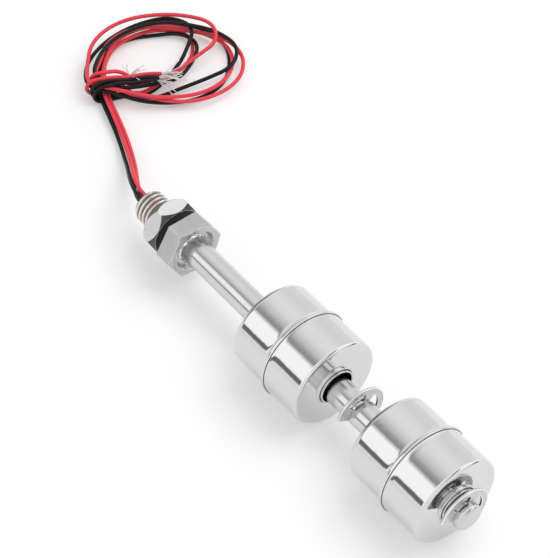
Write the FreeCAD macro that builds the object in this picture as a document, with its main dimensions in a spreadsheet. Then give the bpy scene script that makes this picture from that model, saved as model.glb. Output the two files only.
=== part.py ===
# Float level switch with two floats, lying on a table.
# The stem lies along X, its tip towards +X and its threaded stud and wires towards -X.
# Z = 0 is the table that the lips of the two floats rest on. X = 0 is halfway along the metal part.

import FreeCAD, Part
import math
import os
from types import SimpleNamespace

import Sketcher

doc = FreeCAD.newDocument("float_level_switch")


# Driving dimensions, in millimetres and degrees: name, value, meaning
SIZES = [
    ("stem_diameter", 8.0, "outside of the stem tube"),
    ("stem_wall", 1.0, "wall of the stem tube"),
    ("stem_reach", 114.1, "front of the hexagon to the tip of the stem"),
    ("stem_seat_depth", 5.0, "how deep the stem tube sits in the hexagon"),
    ("stem_seat_clearance", 0.03, "gap round the stem tube in its seat"),
    ("end_cap_thickness", 1.5, "disc that closes the tip"),
    ("end_cap_spigot", 2.0, "part of the cap inside the tube"),
    ("end_cap_clearance", 0.03, "gap round the spigot"),
    ("end_cap_chamfer", 0.5, "bevel of the tip"),
    ("hex_across_flats", 16.0, "wrench size of the hexagon"),
    ("hex_thickness", 5.7, "length of the hexagon"),
    ("hex_chamfer", 1.2, "how far the front corners are turned off"),
    ("recess_diameter", 13.0, "dish round the stem in the front of the hexagon"),
    ("recess_floor_diameter", 11.2, "floor of that dish"),
    ("recess_depth", 1.6, "depth of that dish"),
    ("weld_bead_diameter", 10.6, "foot of the weld bead round the stem"),
    ("weld_bead_height", 1.5, "height of the weld bead"),
    ("stud_diameter", 10.0, "outside of the M10 thread"),
    ("stud_length", 16.8, "hexagon to the end of the thread"),
    ("stud_chamfer", 0.9, "bevel at the end of the thread"),
    ("gasket_diameter", 15.2, "outside of the rubber gasket"),
    ("gasket_thickness", 2.7, "thickness of the rubber gasket"),
    ("gasket_clearance", 0.05, "gap between the gasket and the thread"),
    ("nut_across_flats", 15.6, "wrench size of the lock nut"),
    ("nut_thickness", 5.5, "length of the lock nut"),
    ("nut_chamfer", 1.4, "how far the nut's corners are turned off"),
    ("nut_clearance", 0.05, "gap between the nut and the thread"),
    ("nut_countersink", 0.6, "bevel at each mouth of the nut"),
    ("bottom_cup_diameter", 26.9, "outside of the float's cup towards the tip"),
    ("lip_stand_out", 0.55, "how far the ring at a float's seam stands out of that cup"),
    ("lip_width", 1.1, "width of that ring"),
    ("lip_rounding", 0.35, "rounding of that ring"),
    ("bottom_cup_depth", 13.25, "seam to the outer face of that cup"),
    ("top_cup_depth", 14.1, "seam to the outer face of the other cup"),
    ("cup_wall", 0.4, "sheet thickness of the cups"),
    ("cup_rounding", 1.7, "outside rounding of the cups"),
    ("seam_overlap", 3.0, "how far the top cup slides into the bottom cup"),
    ("seam_clearance", 0.04, "gap between the two cups"),
    ("neck_wall", 0.45, "sheet drawn out round the core tube"),
    ("neck_height", 0.55, "how far that sheet stands out of the cup's face"),
    ("core_bore", 9.7, "hole through a float"),
    ("core_wall", 0.55, "wall of the tube through a float"),
    ("core_clearance", 0.02, "gap between that tube and the cups"),
    ("collar_height", 1.2, "how far that tube stands out of each cup"),
    ("collar_rounding", 0.25, "rounding of its two ends"),
    ("float_rest_gap", 0.1, "gap under the stem where it lies in a float's bore"),
    ("magnet_diameter", 17.0, "outside of the ring magnet"),
    ("magnet_clearance", 0.1, "gap between the magnet and the core tube"),
    ("magnet_length", 6.0, "length of the ring magnet"),
    ("magnet_chamfer", 0.4, "bevel of the ring magnet"),
    ("clip_diameter", 15.6, "outside of a retaining clip"),
    ("clip_thickness", 0.8, "thickness of a retaining clip"),
    ("clip_groove_diameter", 7.0, "floor of the groove that a clip snaps into"),
    ("clip_groove_width", 0.9, "width of that groove"),
    ("clip_clearance", 0.04, "gap between a clip's prongs and the groove's floor"),
    ("clip_window_diameter", 11.8, "outer edge of a clip's windows"),
    ("clip_window_start", 16.0, "angle from the top where a window starts"),
    ("clip_window_end", 77.0, "angle from the top where a window ends"),
    ("clip_mouth_width", 6.2, "width of the clip's mouth"),
    ("clip_leg_drop", 2.8, "how far the clip's legs reach below its centre"),
    ("end_clip_from_tip", 2.86, "tip to the middle of the end clip"),
    ("middle_clip_from_tip", 43.4, "tip to the middle of the clip between the floats"),
    ("top_clip_from_tip", 83.4, "tip to the middle of the clip above the floats"),
    ("upper_float_gap", 0.8, "upper float to the clip above it"),
    ("lower_float_gap", 1.2, "lower float to the end clip"),
    ("reed_glass_diameter", 2.0, "outside of a reed switch's glass"),
    ("reed_glass_length", 14.0, "length of a reed switch's glass"),
    ("reed_glass_wall", 0.3, "wall of the glass"),
    ("reed_seal_length", 1.6, "solid glass at each end"),
    ("reed_lead_diameter", 0.5, "round lead of a reed"),
    ("reed_lead_length", 5.0, "lead outside the glass"),
    ("reed_neck_length", 0.5, "round part of a reed past its seal"),
    ("reed_blade_width", 1.0, "flat part of a reed"),
    ("reed_blade_thickness", 0.22, "thickness of the flat part"),
    ("reed_blade_overlap", 1.4, "how far the two flat parts overlap"),
    ("reed_contact_gap", 0.12, "gap between the two flat parts"),
    ("reed_clearance", 0.01, "gap between lead and glass seal"),
    ("sleeve_wall", 0.35, "wall of the sleeve over a reed switch"),
    ("sleeve_clearance", 0.04, "gap between the sleeve and the glass"),
    ("sleeve_overhang", 1.0, "how far the sleeve passes each end of the glass"),
    ("reed_offset", 1.45, "reed switch above the middle of the stem"),
    ("upper_reed_from_tip", 62.6, "tip to the middle of the upper reed switch"),
    ("lower_reed_from_tip", 23.3, "tip to the middle of the lower reed switch"),
    ("wire_diameter", 1.35, "outside of a wire's insulation"),
    ("wire_pitch", 1.6, "distance between wires where they leave the stud"),
    ("potting_length", 9.0, "length of the sealing compound in the stud"),
    ("potting_recess", 0.5, "end of the stud to the sealing compound"),
    ("potting_clearance", 0.02, "gap round the compound and round each wire in it"),
    ("coil_width_along", 48.0, "loose coil of wire, along X"),
    ("coil_width_across", 48.0, "loose coil of wire, along Y"),
    ("coil_height", 4.2, "height of the loose coil"),
    ("coil_hole_along", 18.0, "open middle of the coil, along X"),
    ("coil_hole_across", 26.0, "open middle of the coil, along Y"),
    ("coil_hole_shift_along", -6.5, "middle of the opening from the coil's middle, along X"),
    ("coil_hole_shift_across", 3.5, "middle of the opening from the coil's middle, along Y"),
    ("coil_rounding", 1.2, "rounding of the coil's outer edges"),
    ("coil_middle_x", -121.6, "middle of the coil, along X"),
    ("coil_middle_y", 43.5, "middle of the coil, along Y"),
    ("strand_diameter", 0.6, "bare strands at a wire's end"),
    ("strand_gap", 0.1, "bare strands above the coil"),
]


class Length:
    """A number of the model, kept with the expression that gives it in the document."""

    def __init__(self, value, text):
        self.value = value
        self.text = text

    def __add__(self, other):
        other = as_length(other)
        return Length(self.value + other.value, f"({self.text} + {other.text})")

    def __sub__(self, other):
        other = as_length(other)
        return Length(self.value - other.value, f"({self.text} - {other.text})")

    def __mul__(self, other):
        other = as_length(other)
        return Length(self.value * other.value, f"({self.text} * {other.text})")

    def __truediv__(self, number):
        return Length(self.value / number, f"({self.text} / {number!r})")

    def __neg__(self):
        return Length(-self.value, f"(0 - {self.text})")


def as_length(number):
    return number if isinstance(number, Length) else Length(float(number), f"({float(number)!r})")


sheet = doc.addObject("Spreadsheet::Sheet", "Sizes")
for row, (name, value, meaning) in enumerate(SIZES, 1):
    sheet.set(f"A{row}", meaning)
    sheet.set(f"B{row}", str(value))
    sheet.setAlias(f"B{row}", name)
doc.recompute()
size = SimpleNamespace(**{name: Length(value, f"Sizes.{name}") for name, value, meaning in SIZES})
ZERO = as_length(0)


def sine(angle):
    return Length(math.sin(math.radians(angle.value)), f"sin({angle.text})")


def cosine(angle):
    return Length(math.cos(math.radians(angle.value)), f"cos({angle.text})")


# Places worked out from the driving dimensions
stem_radius = size.stem_diameter / 2
stem_bore_radius = stem_radius - size.stem_wall
stud_radius = size.stud_diameter / 2
metal_length = size.stud_length + size.hex_thickness + size.stem_reach
tip_x = metal_length / 2
stud_end_x = -tip_x
hex_rear_x = stud_end_x + size.stud_length
hex_front_x = hex_rear_x + size.hex_thickness

core_bore_radius = size.core_bore / 2
core_radius = core_bore_radius + size.core_wall
float_z = size.bottom_cup_diameter / 2 + size.lip_stand_out
stem_z = float_z - (core_bore_radius - stem_radius - size.float_rest_gap)

end_clip_x = tip_x - size.end_clip_from_tip
middle_clip_x = tip_x - size.middle_clip_from_tip
top_clip_x = tip_x - size.top_clip_from_tip
half_clip = size.clip_thickness / 2
upper_seam_x = top_clip_x + half_clip + size.upper_float_gap + size.collar_height + size.top_cup_depth
lower_seam_x = end_clip_x - half_clip - size.lower_float_gap - size.collar_height - size.bottom_cup_depth


# Helpers that draw sketches and turn them into features
PAST = 1.0  # how far an outline that cuts reaches past the metal


def new_body(name, x, z):
    body = doc.addObject("PartDesign::Body", name)
    body.Label = name
    body.setExpression("Placement.Base.x", x.text)
    body.setExpression("Placement.Base.z", z.text)
    return body


def new_sketch(body, name, role):
    sketch = body.newObject("Sketcher::SketchObject", name)
    plane = next(p for p in body.Origin.OriginFeatures if p.Role == role)
    sketch.AttachmentSupport = (plane, [""])
    sketch.MapMode = "FlatFace"
    return sketch


def bind(sketch, kind, places, name, length):
    index = sketch.addConstraint(Sketcher.Constraint(kind, *places, length.value))
    sketch.renameConstraint(index, name)
    sketch.setExpression(f"Constraints.{name}", length.text)


def draw_outline(sketch, corners):
    """A closed run of straight lines whose corners are held by their two distances from the origin."""
    count = len(corners)
    spots = [FreeCAD.Vector(across.value, up.value, 0) for across, up in corners]
    for i in range(count):
        sketch.addGeometry(Part.LineSegment(spots[i], spots[(i + 1) % count]), False)
    for i in range(count):
        sketch.addConstraint(Sketcher.Constraint("Coincident", i, 2, (i + 1) % count, 1))
    for i, (across, up) in enumerate(corners):
        bind(sketch, "DistanceX", (-1, 1, i, 1), f"across{i}", across)
        bind(sketch, "DistanceY", (-1, 1, i, 1), f"up{i}", up)


def draw_circle(sketch, name, radius, across=ZERO, up=ZERO):
    centre = FreeCAD.Vector(across.value, up.value, 0)
    index = sketch.addGeometry(Part.Circle(centre, FreeCAD.Vector(0, 0, 1), radius.value), False)
    bind(sketch, "Radius", (index,), f"{name}_radius", radius)
    bind(sketch, "DistanceX", (-1, 1, index, 3), f"{name}_across", across)
    bind(sketch, "DistanceY", (-1, 1, index, 3), f"{name}_up", up)


def turn(body, name, corners):
    """A turned piece: the outline's corners are (along X, distance from X)."""
    sketch = new_sketch(body, f"{name}_sketch", "XZ_Plane")
    draw_outline(sketch, corners)
    feature = body.newObject("PartDesign::Revolution", name)
    feature.Profile = sketch
    feature.ReferenceAxis = (sketch, ["H_Axis"])
    feature.Angle = 360
    doc.recompute()
    return feature


def turn_away(body, name, corners):
    """Turns an outline's ring out of a piece, and makes sure that it took something away."""
    doc.recompute()
    before = body.Shape.Volume
    sketch = new_sketch(body, f"{name}_sketch", "XZ_Plane")
    draw_outline(sketch, corners)
    feature = body.newObject("PartDesign::Groove", name)
    feature.Profile = sketch
    feature.ReferenceAxis = (sketch, ["H_Axis"])
    feature.Angle = 360
    doc.recompute()
    check_smaller(body, name, before)
    return feature


def check_smaller(body, name, before):
    if body.Shape.Volume >= before - 1e-6:
        raise RuntimeError(f"{name} takes nothing away")


def pad_along_x(body, name, sketch, length):
    feature = body.newObject("PartDesign::Pad", name)
    feature.Profile = sketch
    feature.setExpression("Length", length.text)
    doc.recompute()
    return feature


def cut_along_x(body, name, sketch):
    """Cuts a sketch through the whole piece."""
    before = body.Shape.Volume
    feature = body.newObject("PartDesign::Pocket", name)
    feature.Profile = sketch
    feature.Type = "ThroughAll"
    feature.Midplane = True
    doc.recompute()
    check_smaller(body, name, before)
    return feature


def ring_body(name, x, z, outer_radius, inner_radius, length):
    body = new_body(name, x, z)
    sketch = new_sketch(body, "ring_sketch", "YZ_Plane")
    draw_circle(sketch, "outer", outer_radius)
    draw_circle(sketch, "inner", inner_radius)
    pad_along_x(body, "ring", sketch, length)
    return body


def circle_edges(body, wanted):
    """Names of the circular edges at the wanted (place along X, radius) pairs, in the body's own frame."""
    names = []
    for x, radius in wanted:
        for i, edge in enumerate(body.Tip.Shape.Edges, 1):
            curve = edge.Curve
            if not isinstance(curve, Part.Circle) or len(edge.Vertexes) > 1:
                continue
            if abs(curve.Radius - radius.value) < 1e-4 and abs(curve.Center.x - x.value) < 1e-4:
                names.append(f"Edge{i}")
    if len(names) != len(wanted):
        raise RuntimeError(f"{body.Label}: {len(names)} of {len(wanted)} edges found")
    return names


def round_edges(body, name, radius, wanted):
    names = circle_edges(body, wanted)
    base = body.Tip
    feature = body.newObject("PartDesign::Fillet", name)
    feature.Base = (base, names)
    feature.setExpression("Radius", radius.text)
    doc.recompute()
    return feature


def bevel_edges(body, name, width, wanted):
    names = circle_edges(body, wanted)
    base = body.Tip
    feature = body.newObject("PartDesign::Chamfer", name)
    feature.Base = (base, names)
    feature.setExpression("Size", width.text)
    doc.recompute()
    return feature


# The one-piece fitting: hexagon, threaded stud and the passage through both
CORNER_SHARE = 1 / math.sqrt(3)  # a hexagon's middle to its corner, as a share of its width across flats
CHAMFER_SLOPE = math.tan(math.radians(30))  # a hexagon's corners are turned off at this slope to its face
hex_corner = size.hex_across_flats * CORNER_SHARE


def draw_hexagon(sketch, across_flats):
    """A hexagon with two flats parallel to the table."""
    corner = across_flats * CORNER_SHARE
    draw_outline(sketch, [
        (corner, ZERO),
        (corner / 2, across_flats / 2),
        (-(corner / 2), across_flats / 2),
        (-corner, ZERO),
        (-(corner / 2), -(across_flats / 2)),
        (corner / 2, -(across_flats / 2)),
    ])


mounting_body = new_body("mounting_body", stud_end_x, stem_z)
stud_sketch = new_sketch(mounting_body, "stud_sketch", "YZ_Plane")
draw_circle(stud_sketch, "stud", stud_radius)
pad_along_x(mounting_body, "stud", stud_sketch, size.stud_length + size.hex_thickness / 2)
hex_sketch = new_sketch(mounting_body, "hex_sketch", "YZ_Plane")
hex_sketch.setExpression("AttachmentOffset.Base.z", size.stud_length.text)
draw_hexagon(hex_sketch, size.hex_across_flats)
pad_along_x(mounting_body, "hexagon", hex_sketch, size.hex_thickness)
fitting_length = size.stud_length + size.hex_thickness
bevel_edges(mounting_body, "stud_end_bevel", size.stud_chamfer, [(ZERO, stud_radius)])
corner_start = hex_corner - size.hex_chamfer
hex_chamfer_run = size.hex_chamfer * CHAMFER_SLOPE
turn_away(mounting_body, "hex_front_chamfer", [
    (fitting_length, corner_start),
    (fitting_length + PAST, corner_start),
    (fitting_length + PAST, hex_corner + PAST),
    (fitting_length - hex_chamfer_run * 2, hex_corner + PAST),
    (fitting_length - hex_chamfer_run, hex_corner),
])
turn_away(mounting_body, "front_dish", [
    (fitting_length + PAST, ZERO),
    (fitting_length + PAST, size.recess_diameter / 2),
    (fitting_length, size.recess_diameter / 2),
    (fitting_length - size.recess_depth, size.recess_floor_diameter / 2),
    (fitting_length - size.recess_depth, ZERO),
])
turn_away(mounting_body, "stem_seat", [
    (fitting_length + PAST, ZERO),
    (fitting_length + PAST, stem_radius + size.stem_seat_clearance),
    (fitting_length - size.stem_seat_depth, stem_radius + size.stem_seat_clearance),
    (fitting_length - size.stem_seat_depth, ZERO),
])
passage_sketch = new_sketch(mounting_body, "passage_sketch", "YZ_Plane")
draw_circle(passage_sketch, "passage", stem_bore_radius)
cut_along_x(mounting_body, "wire_passage", passage_sketch)


# The stem: a tube with three clip grooves, closed by a welded cap
stem_start_x = hex_front_x - size.stem_seat_depth
tube_length = size.stem_seat_depth + size.stem_reach - size.end_cap_thickness
stem_tube = ring_body("stem_tube", stem_start_x, stem_z, stem_radius, stem_bore_radius, tube_length)
groove_floor = size.clip_groove_diameter / 2
for clip_name, from_tip in (
    ("top", size.top_clip_from_tip),
    ("middle", size.middle_clip_from_tip),
    ("end", size.end_clip_from_tip),
):
    groove_middle = size.stem_seat_depth + size.stem_reach - from_tip
    groove_half = size.clip_groove_width / 2
    turn_away(stem_tube, f"{clip_name}_clip_groove", [
        (groove_middle - groove_half, groove_floor),
        (groove_middle + groove_half, groove_floor),
        (groove_middle + groove_half, stem_radius + PAST),
        (groove_middle - groove_half, stem_radius + PAST),
    ])

stem_end_cap = new_body("stem_end_cap", tip_x - size.end_cap_thickness, stem_z)
spigot_radius = stem_bore_radius - size.end_cap_clearance
turn(stem_end_cap, "cap", [
    (-size.end_cap_spigot, ZERO),
    (-size.end_cap_spigot, spigot_radius),
    (ZERO, spigot_radius),
    (ZERO, stem_radius),
    (size.end_cap_thickness - size.end_cap_chamfer, stem_radius),
    (size.end_cap_thickness, stem_radius - size.end_cap_chamfer),
    (size.end_cap_thickness, ZERO),
])

# The weld that joins the stem to the hexagon, a polished ring on the floor of the dish.
# Its outside is a quarter of an ellipse, in straight steps.
BEAD_STEPS = 4
weld_bead = new_body("stem_weld_bead", hex_front_x - size.recess_depth, stem_z)
bead_inner = stem_radius + size.stem_seat_clearance
bead_width = size.weld_bead_diameter / 2 - bead_inner
bead_outline = [(ZERO, bead_inner), (ZERO, bead_inner + bead_width)]
for step in range(1, BEAD_STEPS):
    lean = math.radians(90 * step / BEAD_STEPS)
    bead_outline.append((size.weld_bead_height * math.sin(lean), bead_inner + bead_width * math.cos(lean)))
bead_outline.append((size.weld_bead_height, bead_inner))
turn(weld_bead, "bead", bead_outline)


# The seal and the lock nut on the stud
sealing_gasket = ring_body(
    "sealing_gasket",
    hex_rear_x - size.gasket_thickness,
    stem_z,
    size.gasket_diameter / 2,
    stud_radius + size.gasket_clearance,
    size.gasket_thickness,
)

NUT_ROLL = -5.0
lock_nut = doc.addObject("PartDesign::Body", "lock_nut")
lock_nut.Label = "lock_nut"
lock_nut.Placement = FreeCAD.Placement(FreeCAD.Vector(), FreeCAD.Rotation(FreeCAD.Vector(1, 0, 0), NUT_ROLL))
nut_x = hex_rear_x - size.gasket_thickness - size.nut_thickness
lock_nut.setExpression("Placement.Base.x", nut_x.text)
lock_nut.setExpression("Placement.Base.z", stem_z.text)
nut_sketch = new_sketch(lock_nut, "nut_sketch", "YZ_Plane")
draw_hexagon(nut_sketch, size.nut_across_flats)
pad_along_x(lock_nut, "nut", nut_sketch, size.nut_thickness)
nut_corner = size.nut_across_flats * CORNER_SHARE
nut_bore = stud_radius + size.nut_clearance
nut_corner_start = nut_corner - size.nut_chamfer
nut_chamfer_run = size.nut_chamfer * CHAMFER_SLOPE
turn_away(lock_nut, "nut_front_chamfer", [
    (size.nut_thickness, nut_corner_start),
    (size.nut_thickness + PAST, nut_corner_start),
    (size.nut_thickness + PAST, nut_corner + PAST),
    (size.nut_thickness - nut_chamfer_run * 2, nut_corner + PAST),
    (size.nut_thickness - nut_chamfer_run, nut_corner),
])
turn_away(lock_nut, "nut_rear_chamfer", [
    (ZERO, nut_corner_start),
    (nut_chamfer_run, nut_corner),
    (nut_chamfer_run * 2, nut_corner + PAST),
    (ZERO - PAST, nut_corner + PAST),
    (ZERO - PAST, nut_corner_start),
])
nut_bore_sketch = new_sketch(lock_nut, "bore_sketch", "YZ_Plane")
draw_circle(nut_bore_sketch, "bore", nut_bore)
cut_along_x(lock_nut, "nut_bore", nut_bore_sketch)
bevel_edges(lock_nut, "nut_mouths", size.nut_countersink, [(ZERO, nut_bore), (size.nut_thickness, nut_bore)])


# The retaining clips: open rings with three prongs that reach into a groove
clip_radius = size.clip_diameter / 2
prong_radius = groove_floor + size.clip_clearance
window_radius = size.clip_window_diameter / 2
WINDOW_INNER_SHARE = 0.8  # a window starts inside the clip's bore, so that no skin is left at its edge


def draw_window(sketch, side):
    """One window between the top prong and a side prong: two arcs round the middle and two straight ends."""
    inner = groove_floor * WINDOW_INNER_SHARE
    corners = {}
    for end, angle in (("start", size.clip_window_start), ("end", size.clip_window_end)):
        for edge, radius in (("inner", inner), ("outer", window_radius)):
            corners[edge, end] = (radius * sine(angle) * side, radius * cosine(angle))
    spots = {key: FreeCAD.Vector(across.value, up.value, 0) for key, (across, up) in corners.items()}
    for edge, radius in (("inner", inner), ("outer", window_radius)):
        middle = (spots[edge, "start"] + spots[edge, "end"]).normalize() * radius.value
        sketch.addGeometry(Part.Arc(spots[edge, "start"], middle, spots[edge, "end"]), False)
    for end in ("start", "end"):
        sketch.addGeometry(Part.LineSegment(spots["inner", end], spots["outer", end]), False)
    # an arc runs anticlockwise, so its first point is the far end on the +Y side
    first, last = (2, 1) if side > 0 else (1, 2)
    for arc in (0, 1):
        sketch.addConstraint(Sketcher.Constraint("Coincident", arc, 3, -1, 1))
        sketch.addConstraint(Sketcher.Constraint("Coincident", arc, first, 2, arc + 1))
        sketch.addConstraint(Sketcher.Constraint("Coincident", arc, last, 3, arc + 1))
    bind(sketch, "Radius", (0,), "inner_radius", inner)
    bind(sketch, "Radius", (1,), "outer_radius", window_radius)
    for line, end in ((2, "start"), (3, "end")):
        for point, edge in ((1, "inner"), (2, "outer")):
            bind(sketch, "DistanceX", (-1, 1, line, point), f"{edge}_{end}", corners[edge, end][0])


def retaining_clip(name, middle_x):
    clip = new_body(name, middle_x - half_clip, stem_z)
    blank_sketch = new_sketch(clip, "blank_sketch", "YZ_Plane")
    draw_circle(blank_sketch, "rim", clip_radius)
    draw_circle(blank_sketch, "grip", prong_radius)
    pad_along_x(clip, "blank", blank_sketch, size.clip_thickness)
    for side, side_name in ((1, "right"), (-1, "left")):
        window_sketch = new_sketch(clip, f"{side_name}_window_sketch", "YZ_Plane")
        draw_window(window_sketch, side)
        cut_along_x(clip, f"{side_name}_window", window_sketch)
    half_mouth = size.clip_mouth_width / 2
    beyond = clip_radius + PAST
    mouth_sketch = new_sketch(clip, "mouth_sketch", "YZ_Plane")
    draw_outline(mouth_sketch, [
        (-half_mouth, ZERO),
        (half_mouth, ZERO),
        (half_mouth, -size.clip_leg_drop),
        (beyond, -size.clip_leg_drop),
        (beyond, -beyond),
        (-beyond, -beyond),
        (-beyond, -size.clip_leg_drop),
        (-half_mouth, -size.clip_leg_drop),
    ])
    cut_along_x(clip, "mouth", mouth_sketch)


retaining_clip("retaining_clip_top", top_clip_x)
retaining_clip("retaining_clip_middle", middle_clip_x)
retaining_clip("retaining_clip_end", end_clip_x)


# The floats: two drawn cups that telescope at the seam, a core tube through both and a ring magnet
bottom_radius = size.bottom_cup_diameter / 2
lip_radius = bottom_radius + size.lip_stand_out
top_radius = bottom_radius - size.cup_wall - size.seam_clearance
hole_radius = core_radius + size.core_clearance
neck_radius = hole_radius + size.neck_wall
half_lip = size.lip_width / 2
cup_inside_rounding = size.cup_rounding - size.cup_wall


def bottom_cup(name, seam_x):
    """The cup towards the tip, with the wide lip that the other cup slides into."""
    cup = new_body(name, seam_x, float_z)
    face = size.bottom_cup_depth
    inside = face - size.cup_wall
    turn(cup, "cup", [
        (-half_lip, bottom_radius - size.cup_wall),
        (-half_lip, lip_radius),
        (half_lip, lip_radius),
        (half_lip, bottom_radius),
        (face, bottom_radius),
        (face, neck_radius),
        (face + size.neck_height, neck_radius),
        (face + size.neck_height, hole_radius),
        (inside, hole_radius),
        (inside, bottom_radius - size.cup_wall),
    ])
    round_edges(cup, "rim", size.cup_rounding, [(face, bottom_radius)])
    round_edges(cup, "inner_rim", cup_inside_rounding, [(inside, bottom_radius - size.cup_wall)])
    round_edges(cup, "lip", size.lip_rounding, [(-half_lip, lip_radius), (half_lip, lip_radius)])


def top_cup(name, seam_x):
    """The cup towards the hexagon, whose skirt sits inside the other cup."""
    cup = new_body(name, seam_x, float_z)
    face = -size.top_cup_depth
    inside = face + size.cup_wall
    turn(cup, "cup", [
        (size.seam_overlap, top_radius - size.cup_wall),
        (size.seam_overlap, top_radius),
        (face, top_radius),
        (face, neck_radius),
        (face - size.neck_height, neck_radius),
        (face - size.neck_height, hole_radius),
        (inside, hole_radius),
        (inside, top_radius - size.cup_wall),
    ])
    round_edges(cup, "rim", size.cup_rounding, [(face, top_radius)])
    round_edges(cup, "inner_rim", cup_inside_rounding, [(inside, top_radius - size.cup_wall)])


def core_tube(name, seam_x):
    start = -(size.top_cup_depth + size.collar_height)
    length = size.bottom_cup_depth + size.top_cup_depth + size.collar_height * 2
    core = ring_body(name, seam_x + start, float_z, core_radius, core_bore_radius, length)
    round_edges(core, "ends", size.collar_rounding, [(ZERO, core_radius), (length, core_radius)])


def ring_magnet(name, seam_x):
    outer = size.magnet_diameter / 2
    start = seam_x - size.magnet_length / 2
    magnet = ring_body(name, start, float_z, outer, core_radius + size.magnet_clearance, size.magnet_length)
    bevel_edges(magnet, "bevels", size.magnet_chamfer, [(ZERO, outer), (size.magnet_length, outer)])


for float_name, seam_x in (("upper_float", upper_seam_x), ("lower_float", lower_seam_x)):
    top_cup(f"{float_name}_top_cup", seam_x)
    bottom_cup(f"{float_name}_bottom_cup", seam_x)
    core_tube(f"{float_name}_core_tube", seam_x)
    ring_magnet(f"{float_name}_magnet", seam_x)


# The reed switches inside the stem: two springy blades sealed in a glass capsule, in an insulating sleeve
glass_radius = size.reed_glass_diameter / 2
lead_radius = size.reed_lead_diameter / 2
reed_z = stem_z + size.reed_offset
half_glass = size.reed_glass_length / 2
GLASS_END_SHARE = 0.6  # radius of a capsule's end face, as a share of the capsule's
GLASS_SHOULDER_SHARE = 0.3  # length of its shoulder, as a share of the solid glass there


def reed_glass(name, middle_x):
    glass = new_body(name, middle_x - half_glass, reed_z)
    full = size.reed_glass_length
    hole = lead_radius + size.reed_clearance
    cavity = glass_radius - size.reed_glass_wall
    end_radius = glass_radius * GLASS_END_SHARE
    shoulder = size.reed_seal_length * GLASS_SHOULDER_SHARE
    turn(glass, "capsule", [
        (ZERO, hole),
        (ZERO, end_radius),
        (shoulder, glass_radius),
        (full - shoulder, glass_radius),
        (full, end_radius),
        (full, hole),
        (full - size.reed_seal_length, hole),
        (full - size.reed_seal_length, cavity),
        (size.reed_seal_length, cavity),
        (size.reed_seal_length, hole),
    ])


def reed_blade(name, middle_x, towards_tip):
    """One blade: a round lead through the glass, flattened where it meets its partner."""
    blade = doc.addObject("PartDesign::Body", name)
    blade.Label = name
    turned = 180 if towards_tip else 0
    blade.Placement = FreeCAD.Placement(FreeCAD.Vector(), FreeCAD.Rotation(FreeCAD.Vector(0, 0, 1), turned))
    reach = half_glass + size.reed_lead_length
    outer_end = middle_x + reach if towards_tip else middle_x - reach
    blade.setExpression("Placement.Base.x", outer_end.text)
    blade.setExpression("Placement.Base.z", reed_z.text)
    lead_sketch = new_sketch(blade, "lead_sketch", "YZ_Plane")
    draw_circle(lead_sketch, "lead", lead_radius)
    sealed_part = size.reed_lead_length + size.reed_seal_length
    pad_along_x(blade, "lead", lead_sketch, sealed_part + size.reed_neck_length)
    flat_start = sealed_part + size.reed_clearance
    flat_sketch = new_sketch(blade, "flat_sketch", "YZ_Plane")
    flat_sketch.setExpression("AttachmentOffset.Base.z", flat_start.text)
    half_gap = size.reed_contact_gap / 2
    low = half_gap if towards_tip else -(half_gap + size.reed_blade_thickness)
    high = low + size.reed_blade_thickness
    half_width = size.reed_blade_width / 2
    draw_outline(flat_sketch, [
        (-half_width, low),
        (half_width, low),
        (half_width, high),
        (-half_width, high),
    ])
    flat_length = reach - flat_start + size.reed_blade_overlap / 2
    pad_along_x(blade, "flat", flat_sketch, flat_length)


def reed_switch(name, middle_x):
    reed_glass(f"{name}_reed_glass", middle_x)
    reed_blade(f"{name}_reed_blade_near", middle_x, False)
    reed_blade(f"{name}_reed_blade_far", middle_x, True)
    bore = glass_radius + size.sleeve_clearance
    start = middle_x - half_glass - size.sleeve_overhang
    length = size.reed_glass_length + size.sleeve_overhang * 2
    ring_body(f"{name}_reed_sleeve", start, reed_z, bore + size.sleeve_wall, bore, length)


upper_reed_x = tip_x - size.upper_reed_from_tip
lower_reed_x = tip_x - size.lower_reed_from_tip
reed_switch("upper", upper_reed_x)
reed_switch("lower", lower_reed_x)


# The sealing compound in the stud, with a hole for each of the four wires
wire_radius = size.wire_diameter / 2
half_pitch = size.wire_pitch / 2
potting_plug = new_body("potting_plug", stud_end_x + size.potting_recess, stem_z)
plug_sketch = new_sketch(potting_plug, "plug_sketch", "YZ_Plane")
draw_circle(plug_sketch, "plug", stem_bore_radius - size.potting_clearance)
for hole_name, across, up in (
    ("right_top", half_pitch, half_pitch),
    ("right_low", half_pitch, -half_pitch),
    ("left_top", -half_pitch, half_pitch),
    ("left_low", -half_pitch, -half_pitch),
):
    draw_circle(plug_sketch, hole_name, wire_radius + size.potting_clearance, across, up)
pad_along_x(potting_plug, "plug", plug_sketch, size.potting_length)


# Wires: round tubes along straight runs joined by tangent arcs
ARC_SHARE = 0.45


def rounded_path(name, points):
    """The runs between the points, with an arc at each turn that takes its share of the shorter run."""
    corners = [FreeCAD.Vector(*point) for point in points]
    edges = []
    radii = []
    start = corners[0]
    for before, corner, after in zip(corners, corners[1:], corners[2:]):
        into = before - corner
        out = after - corner
        setback = ARC_SHARE * min(into.Length, out.Length)
        half_turn = (math.pi - into.getAngle(out)) / 2
        radius = setback / math.tan(half_turn)
        radii.append(round(radius, 1))
        into.normalize()
        out.normalize()
        arc_start = corner + into * setback
        arc_end = corner + out * setback
        inwards = (into + out).normalize()
        arc_middle = corner + inwards * (radius / math.cos(half_turn) - radius)
        edges.append(Part.LineSegment(start, arc_start).toShape())
        edges.append(Part.Arc(arc_start, arc_middle, arc_end).toShape())
        start = arc_end
    edges.append(Part.LineSegment(start, corners[-1]).toShape())
    print(name, "arc radii", radii)
    return Part.Wire(edges)


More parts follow.
